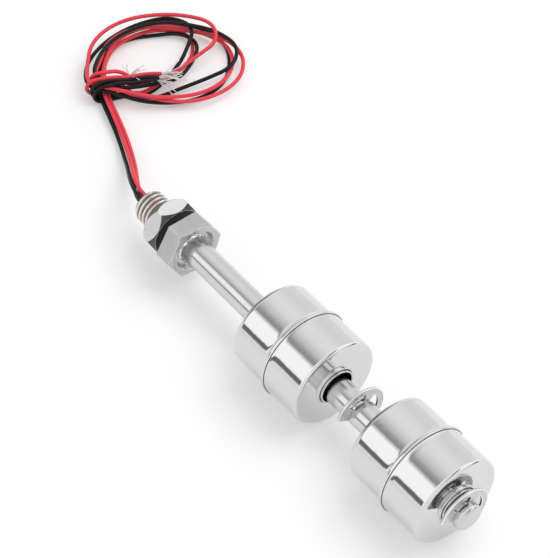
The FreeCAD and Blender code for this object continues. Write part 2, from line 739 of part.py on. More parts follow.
def wire_tube(name, points):
    path = rounded_path(name, points)
    along = FreeCAD.Vector(*points[1]) - FreeCAD.Vector(*points[0])
    section = Part.Wire(Part.makeCircle(wire_radius.value, FreeCAD.Vector(*points[0]), along))
    tube = path.makePipeShell([section], True, False)
    expected = math.pi * wire_radius.value ** 2 * path.Length
    if abs(tube.Volume - expected) > 0.01 * expected:
        raise RuntimeError(f"{name}: volume {tube.Volume:.1f}, expected {expected:.1f}")
    print(name, "length", round(path.Length, 1))
    feature = doc.addObject("Part::Feature", name)
    feature.Label = name
    feature.Shape = tube
    feature.Placement = FreeCAD.Placement()


# Inside the stem each wire runs in a lane of its own beside the reed switches, and ends at a reed's lead
exit_x = (stud_end_x + size.potting_recess).value
potting_end_x = exit_x + size.potting_length.value
middle_z = stem_z.value
pitch_offset = half_pitch.value
reed_axis_z = reed_z.value
lead_span = (half_glass + size.reed_lead_length).value
sleeve_span = (half_glass + size.sleeve_overhang).value
SIDE_LANE = 2.15
SIDE_LANE_DROP = 0.25
LOW_LANE = 0.85
LOW_LANE_DROP = 1.85
BESIDE_LEAD = 0.72
BELOW_LEAD = 0.67
LANE_LEAD_IN = 5.5
LANE_CHANGE = 10.0
LANE_RETURN = 3.0
LEAD_LAP = 1.5
PAST_SLEEVE = 0.5
side_lane_z = middle_z - SIDE_LANE_DROP
low_lane_z = middle_z - LOW_LANE_DROP
beside_lead_z = reed_axis_z - BELOW_LEAD
upper_x = upper_reed_x.value
lower_x = lower_reed_x.value
lane_start_x = potting_end_x + LANE_LEAD_IN

wire_tube("inner_wire_red_upper", [
    (exit_x, pitch_offset, middle_z + pitch_offset),
    (lane_start_x, pitch_offset, middle_z + pitch_offset),
    (lane_start_x + LANE_CHANGE, 0, reed_axis_z),
    (upper_x - lead_span, 0, reed_axis_z),
])
wire_tube("inner_wire_black_upper", [
    (exit_x, -pitch_offset, middle_z + pitch_offset),
    (lane_start_x, -pitch_offset, middle_z + pitch_offset),
    (lane_start_x + LANE_CHANGE, -SIDE_LANE, side_lane_z),
    (upper_x + sleeve_span + PAST_SLEEVE, -SIDE_LANE, side_lane_z),
    (upper_x + lead_span - LEAD_LAP, -BESIDE_LEAD, beside_lead_z),
    (upper_x + lead_span, -BESIDE_LEAD, beside_lead_z),
])
wire_tube("inner_wire_red_lower", [
    (exit_x, pitch_offset, middle_z - pitch_offset),
    (lane_start_x, pitch_offset, middle_z - pitch_offset),
    (lane_start_x + LANE_CHANGE, LOW_LANE, low_lane_z),
    (upper_x + lead_span + LEAD_LAP, LOW_LANE, low_lane_z),
    (lower_x - lead_span - LANE_RETURN, 0, reed_axis_z),
    (lower_x - lead_span, 0, reed_axis_z),
])
wire_tube("inner_wire_black_lower", [
    (exit_x, -pitch_offset, middle_z - pitch_offset),
    (lane_start_x, -pitch_offset, middle_z - pitch_offset),
    (lane_start_x + LANE_CHANGE, -LOW_LANE, low_lane_z),
    (upper_x + lead_span + LEAD_LAP, -LOW_LANE, low_lane_z),
    (lower_x - lead_span - LANE_RETURN, -SIDE_LANE, side_lane_z),
    (lower_x + sleeve_span + PAST_SLEEVE, -SIDE_LANE, side_lane_z),
    (lower_x + lead_span - LEAD_LAP, -BESIDE_LEAD, beside_lead_z),
    (lower_x + lead_span, -BESIDE_LEAD, beside_lead_z),
])


# The four free wires from the stud to the loose coil, laid on the table by hand.
# The reds run side by side with the blacks, and each colour's upper wire lies above its lower one.
STRAIGHT_OUT_X = -72.0
WIRE_ROUTES = {
    "wire_red_upper": [
        (exit_x, pitch_offset, middle_z + pitch_offset),
        (STRAIGHT_OUT_X, pitch_offset, middle_z + pitch_offset),
        (-77.0, 2.8, 12.7),
        (-82.4, 5.9, 10.05),
        (-88.4, 9.5, 6.75),
        (-94.9, 13.0, 4.0),
        (-101.9, 16.1, 2.55),
        (-109.4, 18.7, 2.35),
        (-116.2, 21.2, 2.8),
        (-122.2, 24.4, 3.2),
    ],
    "wire_red_lower": [
        (exit_x, pitch_offset, middle_z - pitch_offset),
        (STRAIGHT_OUT_X, pitch_offset, middle_z - pitch_offset),
        (-77.0, 2.8, 11.1),
        (-82.4, 5.9, 8.35),
        (-88.4, 9.5, 5.05),
        (-94.9, 13.0, 2.4),
        (-101.9, 16.1, 0.95),
        (-109.4, 18.7, 0.8),
        (-116.2, 21.2, 1.2),
        (-122.2, 24.4, 1.7),
    ],
    "wire_black_upper": [
        (exit_x, -pitch_offset, middle_z + pitch_offset),
        (STRAIGHT_OUT_X, -pitch_offset, middle_z + pitch_offset),
        (-77.6, 1.4, 12.7),
        (-83.2, 4.7, 10.05),
        (-89.2, 8.3, 6.75),
        (-95.5, 11.6, 4.0),
        (-102.5, 14.7, 2.55),
        (-109.9, 17.1, 2.35),
        (-117.0, 19.5, 2.8),
        (-123.5, 22.7, 3.2),
    ],
    "wire_black_lower": [
        (exit_x, -pitch_offset, middle_z - pitch_offset),
        (STRAIGHT_OUT_X, -pitch_offset, middle_z - pitch_offset),
        (-77.6, 1.4, 11.1),
        (-83.2, 4.7, 8.35),
        (-89.2, 8.3, 5.05),
        (-95.5, 11.6, 2.4),
        (-102.5, 14.7, 0.95),
        (-109.9, 17.1, 0.8),
        (-117.0, 19.5, 1.2),
        (-123.5, 22.7, 1.7),
    ],
}
for wire_name, route in WIRE_ROUTES.items():
    wire_tube(wire_name, route)


# The loose coil: the outer shape of its turns, one flat ring with an open middle
rise = FreeCAD.Vector(0, 0, size.coil_height.value)


def ellipse_block(middle, along, across):
    """An upright block as high as the coil, whose plan is an ellipse."""
    on_x = middle + FreeCAD.Vector(along.value / 2, 0, 0)
    on_y = middle + FreeCAD.Vector(0, across.value / 2, 0)
    long_end, short_end = (on_x, on_y) if along.value > across.value else (on_y, on_x)
    plan = Part.Wire(Part.Ellipse(long_end, short_end, middle).toShape())
    return Part.Face(plan).extrude(rise)


hole_middle = FreeCAD.Vector(size.coil_hole_shift_along.value, size.coil_hole_shift_across.value, 0)
coil_outside = ellipse_block(FreeCAD.Vector(), size.coil_width_along, size.coil_width_across)
coil_opening = ellipse_block(hole_middle, size.coil_hole_along, size.coil_hole_across)
coil_ring = coil_outside.cut(coil_opening)
top_edges = [edge for edge in coil_ring.Edges if edge.BoundBox.ZMin > rise.z - 1e-6]
coil_ring = coil_ring.makeFillet(size.coil_rounding.value, top_edges)
wire_coil = doc.addObject("Part::Feature", "wire_coil")
wire_coil.Label = "wire_coil"
wire_coil.Shape = coil_ring.Solids[0]
wire_coil.Placement = FreeCAD.Placement(
    FreeCAD.Vector(size.coil_middle_x.value, size.coil_middle_y.value, 0),
    FreeCAD.Rotation(),
)


# The bare strands at the four free ends, which lie on the coil
STRIPPED_ENDS = [
    ("red_upper", (-120.5, 31.0), (-121.1, 36.0)),
    ("red_lower", (-115.2, 39.0), (-109.8, 44.8)),
    ("black_upper", (-114.2, 37.6), (-107.8, 42.6)),
    ("black_lower", (-113.2, 36.2), (-106.4, 40.4)),
]
strand_radius = size.strand_diameter / 2
strand_z = size.coil_height + size.strand_gap + strand_radius
strands = []
for wire_name, root, tip in STRIPPED_ENDS:
    strand = doc.addObject("Part::Cylinder", f"strand_{wire_name}")
    strand.setExpression("Radius", strand_radius.text)
    strand.Height = math.dist(root, tip)
    along = FreeCAD.Vector(tip[0] - root[0], tip[1] - root[1], 0)
    strand.Placement = FreeCAD.Placement(
        FreeCAD.Vector(root[0], root[1], 0),
        FreeCAD.Rotation(FreeCAD.Vector(0, 0, 1), along),
    )
    strand.setExpression("Placement.Base.z", strand_z.text)
    strands.append(strand)
stripped_ends = doc.addObject("Part::Compound", "stripped_ends")
stripped_ends.Label = "stripped_ends"
stripped_ends.Links = strands


# Checks every object and writes one file for each sub-part
doc.recompute()
for thing in doc.Objects:
    if {"Invalid", "Error"} & set(thing.State):
        raise RuntimeError(f"{thing.Name} failed: {thing.State}")

os.makedirs("parts", exist_ok=True)
SUBPART_TYPES = ("PartDesign::Body", "Part::Feature", "Part::Compound")
for thing in doc.Objects:
    if thing.TypeId not in SUBPART_TYPES:
        continue
    shape = thing.Shape
    if shape.isNull() or not shape.isValid() or not shape.Solids:
        raise RuntimeError(f"{thing.Label} has no valid solid")
    shape.exportStep(f"parts/{thing.Label}.step")
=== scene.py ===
# Float level switch, dressed for the picture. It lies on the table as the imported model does, in metres.

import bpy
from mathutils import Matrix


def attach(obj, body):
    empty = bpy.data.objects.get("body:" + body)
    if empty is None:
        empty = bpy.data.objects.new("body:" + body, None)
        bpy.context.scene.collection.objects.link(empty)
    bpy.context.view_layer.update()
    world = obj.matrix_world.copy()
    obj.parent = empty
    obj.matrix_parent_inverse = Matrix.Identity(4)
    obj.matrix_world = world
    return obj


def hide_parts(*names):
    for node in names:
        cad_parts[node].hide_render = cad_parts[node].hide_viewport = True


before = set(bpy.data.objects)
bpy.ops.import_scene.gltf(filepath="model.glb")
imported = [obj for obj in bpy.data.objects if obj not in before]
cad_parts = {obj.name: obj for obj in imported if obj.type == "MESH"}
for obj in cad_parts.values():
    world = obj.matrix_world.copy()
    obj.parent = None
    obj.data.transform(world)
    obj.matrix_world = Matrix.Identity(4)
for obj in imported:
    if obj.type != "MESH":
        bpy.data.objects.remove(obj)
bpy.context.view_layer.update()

import math

import bmesh
import bpy
from mathutils import Matrix, Vector

scene = bpy.context.scene


# The fitting that screws into the tank wall: a hexagon and an M10 stud, turned from one stainless bar.
# The hexagon is milled and left satin. Its front is turned with a dish, and the thread is rolled.
STEM_Z = 0.01325
HEX_REAR_X = -0.0515
HEX_EDGE = 0.00022
HEX_CUT_X = HEX_REAR_X + 0.00001
DISH_RADIUS = 0.0066
DISH_FLOOR_X = HEX_REAR_X + 0.002
STUD_END_X = -0.0683
STUD_RADIUS = 0.0050
STUD_CHAMFER = 0.0009
PASSAGE_RADIUS = 0.0030
THREAD_PITCH = 0.0015
THREAD_DEPTH = 0.00085
THREAD_TURNS = 15
THREAD_STEPS = 72
FLANK_ANGLE = math.radians(30)
CREST_WIDTH = 0.00022
CREST_ROUNDING = 0.00003
ROOT_ROUNDING = 0.00006
# Radii over which the thread's colour rises from painted root shade to painted crest highlight.
CREST_HIGHLIGHT_RADII = (0.00452, 0.00492)
SAME_SPOT = 2e-6
CUT_SNAP = 1e-7
FLAT_ANGLE = math.radians(0.4)
EDGE_ANGLE = math.radians(25.0)
EDGE_STEPS = 2
SMUDGE_SCALE = 170.0
CLOUD_SCALE = 420.0
RING_WOBBLE = 0.02
LINE_STRETCH = 0.04


class Socket:
    """One output of a node, in a finish or in the light. Sums written on it add Math nodes."""

    def __init__(self, tree, plug):
        self.tree = tree
        self.plug = plug

    def node(self, kind, settings, inputs, output=0):
        made = self.tree.nodes.new(kind)
        for key, value in settings.items():
            if key == "stops":
                ramp = made.color_ramp.elements
                (ramp[0].position, ramp[0].color), (ramp[1].position, ramp[1].color) = value[0], value[-1]
                for place, colour in value[1:-1]:
                    ramp.new(place).color = colour
            else:
                setattr(made, key, value)
        for key, value in inputs.items():
            if isinstance(value, Socket):
                self.tree.links.new(value.plug, made.inputs[key])
            else:
                made.inputs[key].default_value = value
        return Socket(self.tree, made.outputs[output])

    def sum(self, operation, first, second=0.0):
        return self.node("ShaderNodeMath", {"operation": operation}, {0: first, 1: second})

    def __add__(self, other):
        return self.sum("ADD", self, other)

    def __radd__(self, other):
        return self.sum("ADD", other, self)

    def __sub__(self, other):
        return self.sum("SUBTRACT", self, other)

    def __rsub__(self, other):
        return self.sum("SUBTRACT", other, self)

    def __mul__(self, other):
        return self.sum("MULTIPLY", self, other)

    def __rmul__(self, other):
        return self.sum("MULTIPLY", other, self)

    def root(self):
        return self.sum("SQRT", self)

    def rise(self, start, end):
        """A mask that goes from 0 where the number is start to 1 where it is end."""
        return self.node("ShaderNodeMapRange", {}, {"Value": self, "From Min": start, "From Max": end})

    def noise(self, scale, detail=2.0, roughness=0.5):
        return self.node("ShaderNodeTexNoise", {}, {"Vector": self, "Scale": scale, "Detail": detail,
                                                    "Roughness": roughness})

    def stretched(self, along, y, z):
        """The same place with each of its three numbers multiplied."""
        return self.node("ShaderNodeVectorMath", {"operation": "MULTIPLY"}, {0: self, 1: (along, y, z)})

    def axes(self):
        """The three numbers of a place."""
        split = self.node("ShaderNodeSeparateXYZ", {}, {0: self})
        return [Socket(self.tree, plug) for plug in split.plug.node.outputs]

    def between(self, first, second):
        """A colour from first, where the mask is 0, to second, where it is 1."""
        return self.node("ShaderNodeMix", {"data_type": "RGBA"}, {0: self, 6: first, 7: second}, 2)

    def tones(self, stops):
        """A grey from a ramp, whose stops are pairs of a place from 0 to 1 and a tone."""
        return self.node("ShaderNodeValToRGB", {"stops": [(at, grey(tone)) for at, tone in stops]}, {0: self})

    def ray(self, *kinds):
        """A mask that is 1 for rays of the kinds named."""
        mask = 0.0
        for kind in kinds:
            mask = self.sum("MAXIMUM", mask, self.node("ShaderNodeLightPath", {}, {}, kind))
        return mask

    def bump(self, strength, height):
        return self.node("ShaderNodeBump", {}, {"Height": self, "Strength": strength, "Distance": height})

    def feeds(self, shader, name):
        self.tree.links.new(self.plug, shader.inputs[name])


def grey(tone):
    """A colour whose red, green and blue are the same."""
    return tone, tone, tone, 1


def new_finish(name, **constants):
    """A material, its shader with the constants set, and the place on the piece as a socket."""
    material = bpy.data.materials.new(name)
    material.use_nodes = True
    tree = material.node_tree
    shader = tree.nodes["Principled BSDF"]
    for key, value in constants.items():
        shader.inputs[key.replace("_", " ")].default_value = value
    return material, shader, Socket(tree, tree.nodes.new("ShaderNodeTexCoord").outputs["Object"])


def ring_distance(place, axis_z):
    """How far a place is along the X axis, across it, and from a line along X at the height axis_z."""
    along, across, up = place.axes()
    above = up - axis_z
    return along, across, (across * across + above * above).root()


def worked_steel(name, light, dark, roughness, spread, grain, depth, axis_z=STEM_Z, waviness=0.0):
    """Stainless steel whose fine tool marks run round the X axis at the height axis_z."""
    material, shader, place = new_finish(name, Metallic=1.0)
    along, across, radius = ring_distance(place, axis_z)
    rings = place.node("ShaderNodeCombineXYZ", {}, {0: along * grain, 1: radius * grain,
                                                    2: across * grain * RING_WOBBLE})
    marks = rings.noise(1.0, 3.0)
    smudges = place.noise(SMUDGE_SCALE, 3.0, 0.6)
    smudges.between(light, dark).feeds(shader, "Base Color")
    (smudges * spread + marks * spread * 0.5 + roughness).feeds(shader, "Roughness")
    (marks + smudges * waviness).bump(0.25, depth).feeds(shader, "Normal")
    return material


def milled_steel(name, light, dark, roughness, spread, grain, depth):
    """Stainless steel with the fine straight lines of a milled or drawn flat, which run along X."""
    material, shader, place = new_finish(name, Metallic=1.0)
    lines = place.stretched(grain * LINE_STRETCH, grain, grain).noise(1.0, 3.0, 0.6)
    clouds = place.noise(CLOUD_SCALE, 3.0, 0.6)
    clouds.between(light, dark).feeds(shader, "Base Color")
    (lines * spread + clouds * spread + roughness).feeds(shader, "Roughness")
    (lines + clouds * 0.6).bump(0.5, depth).feeds(shader, "Normal")
    return material


def from_cad(name):
    """A copy of a node's mesh, with its loose triangles joined and flat faces made whole."""
    shape = bmesh.new()
    shape.from_mesh(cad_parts[name].data)
    bmesh.ops.remove_doubles(shape, verts=shape.verts, dist=SAME_SPOT)
    bmesh.ops.dissolve_limit(shape, angle_limit=FLAT_ANGLE, verts=shape.verts, edges=shape.edges)
    return shape


def cut_off(shape, place_x, outwards):
    """Cuts a shape square at a place along X and drops what lies beyond it: outwards is 1 or -1."""
    bmesh.ops.bisect_plane(shape, geom=shape.verts[:] + shape.edges[:] + shape.faces[:], dist=CUT_SNAP,
                           plane_co=(place_x, 0, 0), plane_no=(outwards, 0, 0), clear_outer=True)


def out_from(spot, axis_z=STEM_Z):
    """How far a place is from the line along X at the height axis_z."""
    return math.hypot(spot.y, spot.z - axis_z)


def move_out(spot, radius):
    """Moves a point straight from the stem's axis, or to it, until it is at that radius."""
    share = radius / out_from(spot.co)
    spot.co.y *= share
    spot.co.z = STEM_Z + (spot.co.z - STEM_Z) * share


def finish_faces(shape, number, chosen):
    """Gives the faces, chosen by their normal and middle, the finish of that number in the piece's list."""
    shape.normal_update()
    for face in shape.faces:
        if chosen(face.normal, face.calc_center_median()):
            face.material_index = number


def piece(name, shape, finishes, body, stands_for, crease=30.0, edge=0.0):
    """Makes a mesh a smooth-shaded piece that moves with its body and stands for the CAD node named.

    Where its edges are broken, they take the last of its finishes.
    """
    mesh = bpy.data.meshes.new(name)
    shape.to_mesh(mesh)
    shape.free()
    mesh.shade_smooth()
    mesh.set_sharp_from_angle(angle=math.radians(crease))
    for finish in finishes:
        mesh.materials.append(finish)
    thing = bpy.data.objects.new(name, mesh)
    scene.collection.objects.link(thing)
    if edge:
        bevel = thing.modifiers.new("broken_edges", "BEVEL")
        bevel.width = edge
        bevel.segments = EDGE_STEPS
        bevel.material = len(finishes) - 1
        bevel.limit_method = "ANGLE"
        bevel.angle_limit = EDGE_ANGLE
        bevel.use_clamp_overlap = True
        bevel.harden_normals = False
    weighted = thing.modifiers.new("even_shading", "WEIGHTED_NORMAL")
    weighted.keep_sharp = not edge
    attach(thing, body)
    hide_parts(stands_for)


satin_steel = milled_steel("hexagon_satin_steel", grey(0.58), grey(0.46),
                           roughness=0.26, spread=0.12, grain=7000.0, depth=0.000006)
dish_steel = worked_steel("turned_dish_steel", grey(0.58), grey(0.42),
                          roughness=0.14, spread=0.10, grain=5000.0, depth=0.000003)
# The broken edges are polished, and their near-white colour is also a painted highlight, the same along every
# edge.
edge_highlight_steel = worked_steel("polished_edge_highlight_steel", grey(0.99), grey(0.92),
                          roughness=0.22, spread=0.10, grain=3000.0, depth=0.000001)

# The thread's colour follows its depth, warm dark roots to near-white crests: painted shade in the roots and
# painted highlights on the crests, with random stains over both.
thread_steel, shader, place = new_finish("rolled_thread_steel", Metallic=1.0)
along, across, radius = ring_distance(place, STEM_Z)
crest = radius.rise(*CREST_HIGHLIGHT_RADII)
stains = place.noise(CLOUD_SCALE, 3.0, 0.6)
bright = stains.between((0.90, 0.89, 0.87, 1), (0.80, 0.77, 0.72, 1))
painted_root_shade = stains.between((0.34, 0.30, 0.26, 1), (0.20, 0.17, 0.14, 1))
crest.between(painted_root_shade, bright).feeds(shader, "Base Color")
(0.38 - crest * 0.18 + stains * 0.12).feeds(shader, "Roughness")
place.stretched(3000.0, 900.0, 900.0).noise(1.0, 2.0).bump(0.2, 0.000003).feeds(shader, "Normal")

hexagon = from_cad("mounting_body")
cut_off(hexagon, HEX_CUT_X, -1)
bmesh.ops.bridge_loops(hexagon, edges=[edge for edge in hexagon.edges if edge.is_boundary])
finish_faces(hexagon, 1, lambda normal, middle: out_from(middle) < DISH_RADIUS and middle.x > DISH_FLOOR_X)
piece("hexagon", hexagon, [satin_steel, dish_steel, edge_highlight_steel], "stem_assembly",
      "mounting_body", edge=HEX_EDGE)

# One pitch of the thread's outline is spun along the stud, and both ends are cut square
flank = THREAD_DEPTH * math.tan(FLANK_ANGLE)
root_width = THREAD_PITCH - CREST_WIDTH - 2 * flank
root_radius = STUD_RADIUS - THREAD_DEPTH
crest_x = root_width + flank
start_x = STUD_END_X - 2 * THREAD_PITCH
outline = [
    (0.0, root_radius + ROOT_ROUNDING), (root_width * 0.25, root_radius), (root_width * 0.75, root_radius),
    (root_width, root_radius + ROOT_ROUNDING), (crest_x, STUD_RADIUS - CREST_ROUNDING),
    (crest_x + CREST_WIDTH * 0.3, STUD_RADIUS), (crest_x + CREST_WIDTH * 0.7, STUD_RADIUS),
    (crest_x + CREST_WIDTH, STUD_RADIUS - CREST_ROUNDING), (THREAD_PITCH, root_radius + ROOT_ROUNDING),
]
thread = bmesh.new()
spots = [thread.verts.new((start_x + along, 0.0, STEM_Z + radius)) for along, radius in outline]
lines = [thread.edges.new(pair) for pair in zip(spots, spots[1:])]
bmesh.ops.spin(thread, geom=spots + lines, cent=(0.0, 0.0, STEM_Z), axis=(1.0, 0.0, 0.0),
               dvec=(THREAD_PITCH / THREAD_STEPS, 0.0, 0.0), angle=math.tau * THREAD_TURNS,
               steps=THREAD_STEPS * THREAD_TURNS)
bmesh.ops.remove_doubles(thread, verts=thread.verts, dist=SAME_SPOT)
cut_off(thread, STUD_END_X, -1)
cut_off(thread, HEX_REAR_X, 1)
for spot in thread.verts:
    room = STUD_RADIUS - STUD_CHAMFER + (spot.co.x - STUD_END_X)
    if out_from(spot.co) > room:
        move_out(spot, room)
rims = [edge for edge in thread.edges if edge.is_boundary]
bore = bmesh.ops.extrude_edge_only(thread, edges=rims)
for spot in bore["geom"]:
    if isinstance(spot, bmesh.types.BMVert):
        move_out(spot, PASSAGE_RADIUS)
bmesh.ops.recalc_face_normals(thread, faces=thread.faces)
piece("stud_thread", thread, [thread_steel], "stem_assembly", "mounting_body", crease=40.0)


# The stem: a drawn stainless tube with three grooves turned into it for the clips. Its tip is closed
# by a welded cap, and a bead of weld, polished over, joins its other end to the hexagon.
STEM_START_X = -0.0508
STEM_RADIUS = 0.0040
STEM_BORE_RADIUS = 0.0030
GROOVE_RADIUS = 0.0035
GROOVE_HALF_WIDTH = 0.00045
CLIP_PLACES = {"top": -0.0151, "middle": 0.0249, "end": 0.06544}
CAP_SEAM_X = 0.0668
CAP_SEAM_DEPTH = 0.00005
CAP_SEAM_WIDTH = 0.00006
CAP_START_X = 0.0648
CAP_PLUG_RADIUS = 0.00297
TIP_X = 0.0683
TIP_ROUNDING = 0.0011
BEAD_X = -0.0474
BEAD_BORE_RADIUS = 0.00403
BEAD_FOOT = [(0.0, 0.00478), (0.00015, 0.00476)]
BEAD_LENGTH = 0.00100
BEAD_RADIUS = 0.00488
BEAD_HOLLOW = 0.00080
BEAD_ARC = (195, 262)
TURNED_STEPS = 144


def turned(outline, middle_z, steps=TURNED_STEPS):
    """A turned piece: a closed outline of (along X, distance from the axis) spun once round."""
    shape = bmesh.new()
    spots = [shape.verts.new((along, 0.0, middle_z + radius)) for along, radius in outline]
    lines = [shape.edges.new(pair) for pair in zip(spots, spots[1:] + spots[:1])]
    bmesh.ops.spin(shape, geom=spots + lines, cent=(0.0, 0.0, middle_z), axis=(1.0, 0.0, 0.0),
                   angle=math.tau, steps=steps, use_merge=True)
    bmesh.ops.remove_doubles(shape, verts=shape.verts, dist=CUT_SNAP)
    bmesh.ops.recalc_face_normals(shape, faces=shape.faces)
    return shape


def rounding(along, out, radius, start, end, count=6):
    """Places on an arc of an outline, for turned(): angles from the X axis, in degrees."""
    turns = [math.radians(start + (end - start) * i / count) for i in range(count + 1)]
    return [(along + radius * math.cos(t), out + radius * math.sin(t)) for t in turns]


drawn_steel = worked_steel("drawn_stem_steel", grey(0.70), grey(0.60),
                           roughness=0.12, spread=0.08, grain=5000.0, depth=0.0000012)
cap_steel = worked_steel("turned_cap_steel", grey(0.75), grey(0.46),
                         roughness=0.12, spread=0.10, grain=900.0, depth=0.000020)

weld_steel, shader, place = new_finish("polished_weld_glint_steel", Metallic=1.0)
ripples_and_glints = place.noise(1000.0, 2.0, 0.5)
# The ripple noise bumps the bead, and it also sets the colour: its patches of near-white on darker steel are
# painted glints.
(ripples_and_glints * 4.0 - 1.6).between((0.40, 0.395, 0.39, 1), (1.0, 1.0, 0.99, 1)).feeds(shader, "Base Color")
(ripples_and_glints * 0.2 + 0.02).feeds(shader, "Roughness")
ripples_and_glints.bump(0.5, 0.00010).feeds(shader, "Normal")

outline = [(STEM_START_X, STEM_BORE_RADIUS), (STEM_START_X, STEM_RADIUS)]
for groove_x in CLIP_PLACES.values():
    outline += [
        (groove_x - GROOVE_HALF_WIDTH, STEM_RADIUS), (groove_x - GROOVE_HALF_WIDTH, GROOVE_RADIUS),
        (groove_x + GROOVE_HALF_WIDTH, GROOVE_RADIUS), (groove_x + GROOVE_HALF_WIDTH, STEM_RADIUS),
    ]
outline += [(CAP_SEAM_X - CAP_SEAM_WIDTH, STEM_RADIUS), (CAP_SEAM_X, STEM_RADIUS - CAP_SEAM_DEPTH),
            (CAP_SEAM_X, STEM_BORE_RADIUS)]
piece("stem", turned(outline, STEM_Z), [drawn_steel], "stem_assembly", "stem_tube")

outline = [(CAP_START_X, 0.0), (CAP_START_X, CAP_PLUG_RADIUS), (CAP_SEAM_X, CAP_PLUG_RADIUS),
           (CAP_SEAM_X, STEM_RADIUS - CAP_SEAM_DEPTH), (CAP_SEAM_X + CAP_SEAM_WIDTH, STEM_RADIUS)]
outline += rounding(TIP_X - TIP_ROUNDING, STEM_RADIUS - TIP_ROUNDING, TIP_ROUNDING, 90, 0) + [(TIP_X, 0.0)]
piece("stem_tip", turned(outline, STEM_Z), [cap_steel], "stem_assembly", "stem_end_cap")

outline = [(BEAD_X, BEAD_BORE_RADIUS)] + [(BEAD_X + ahead, out) for ahead, out in BEAD_FOOT]
outline += rounding(BEAD_X + BEAD_LENGTH, BEAD_RADIUS, BEAD_HOLLOW, *BEAD_ARC, count=8)
outline += [(BEAD_X + BEAD_LENGTH, BEAD_BORE_RADIUS)]
piece("weld_bead", turned(outline, STEM_Z), [weld_steel], "stem_assembly", "stem_weld_bead")


# The seal: a flat ring cut from black nitrile rubber, which the lock nut squeezes against the hexagon.
# Its cut edge bulges a little and is matt, with a faint grain and a little pale dust.
GASKET_START_X = -0.0542
GASKET_MIDDLE_X = (GASKET_START_X + HEX_REAR_X) / 2
GASKET_RADIUS = 0.0076
GASKET_BORE_RADIUS = 0.00505
GASKET_ROUNDING = 0.0002
GASKET_BULGE = 0.00008
GASKET_STEPS = 96

rubber, shader, place = new_finish("nitrile_rubber", Specular_IOR_Level=0.2)
dust = place.noise(900.0, 4.0, 0.7)
dust.between(grey(0.006), grey(0.018)).feeds(shader, "Base Color")
(dust * 0.2 + 0.58).feeds(shader, "Roughness")
place.noise(6000.0, 3.0).bump(0.4, 0.00002).feeds(shader, "Normal")

shoulder = GASKET_RADIUS - GASKET_ROUNDING
outline = [(GASKET_START_X, GASKET_BORE_RADIUS)]
outline += rounding(GASKET_START_X + GASKET_ROUNDING, shoulder, GASKET_ROUNDING, 180, 90, count=4)
outline += [(GASKET_MIDDLE_X, GASKET_RADIUS + GASKET_BULGE)]
outline += rounding(HEX_REAR_X - GASKET_ROUNDING, shoulder, GASKET_ROUNDING, 90, 0, count=4)
outline += [(HEX_REAR_X, GASKET_BORE_RADIUS)]
piece("gasket", turned(outline, STEM_Z, GASKET_STEPS), [rubber], "stem_assembly",
      "sealing_gasket")


# The lock nut: milled from hexagon bar and tapped, with both faces turned off at the corners.
# It is brighter than the fitting, and runs along the stud until it squeezes the seal.
NUT_EDGE = 0.00020
FACE_SNAP = 0.00001
CORNER_RADIUS = 0.007
CORNER_LENGTH = 0.0012
CORNER_STRETCH = 2.3
CORNER_SLOPE = (0.35, 0.97)

nut_steel = milled_steel("lock_nut_steel", grey(0.86), grey(0.74),
                         roughness=0.20, spread=0.09, grain=8000.0, depth=0.000002)
# The turned corners are coloured near black, a painted shade on those faces.
corner_shade_steel = worked_steel("turned_corner_painted_shade_steel", grey(0.15), grey(0.04),
                            roughness=0.24, spread=0.10, grain=6000.0, depth=0.000002)

nut = from_cad("lock_nut")
nut_faces = [min(spot.co.x for spot in nut.verts), max(spot.co.x for spot in nut.verts)]
for spot in nut.verts:
    for face_x in nut_faces:
        inwards = spot.co.x - face_x
        if FACE_SNAP < abs(inwards) < CORNER_LENGTH and out_from(spot.co) > CORNER_RADIUS:
            spot.co.x = face_x + inwards * CORNER_STRETCH
            break
finish_faces(nut, 1, lambda normal, middle: CORNER_SLOPE[0] < abs(normal.x) < CORNER_SLOPE[1])
piece("nut", nut, [nut_steel, corner_shade_steel, edge_highlight_steel], "lock_nut", "lock_nut", edge=NUT_EDGE)


# The retaining clips: open rings stamped from spring steel, tumbled bright, pushed into the stem's grooves.
# Stamping leaves the rims very slightly rounded, which catches the light, and the rims are coloured near
# white as a painted highlight. The sheared edges inside the rim are duller, and coloured dark as a painted
# shade.
CLIP_TURN = math.radians(-35)
CLIP_EDGE = 0.00015
CLIP_RIM = 0.0061
CLIP_SIDE_SLOPE = 0.5

clip_steel, shader, place = new_finish("stamped_clip_steel", Metallic=0.6)
tumbling = place.noise(2500.0, 3.0, 0.6)
tumbling.between(grey(0.72), grey(0.58)).feeds(shader, "Base Color")
(tumbling * 0.15 + 0.12).feeds(shader, "Roughness")
tumbling.bump(0.5, 0.000004).feeds(shader, "Normal")
# The sheared edges inside the rim are coloured dark: painted shade.
sheared_shade_steel = worked_steel("sheared_clip_edge_painted_shade", grey(0.24), grey(0.10),
                             roughness=0.25, spread=0.10, grain=5000.0, depth=0.000004)

for which in CLIP_PLACES:
    clip = from_cad(f"retaining_clip_{which}")
    bmesh.ops.rotate(clip, cent=(0.0, 0.0, STEM_Z), matrix=Matrix.Rotation(CLIP_TURN, 3, "X"),
                     verts=clip.verts)
    finish_faces(clip, 1, lambda normal, middle: abs(normal.x) < CLIP_SIDE_SLOPE
                 and out_from(middle) < CLIP_RIM)
    piece(f"clip_{which}", clip, [clip_steel, sheared_shade_steel, edge_highlight_steel], "stem_assembly",
          f"retaining_clip_{which}", edge=CLIP_EDGE)


# Inside the stem: two reed switches, each two plated blades sealed in a glass capsule under a shrunk
# sleeve, and the four wires to them. Grey epoxy seals the wires in the end of the stud.
REED_Z = 0.0147

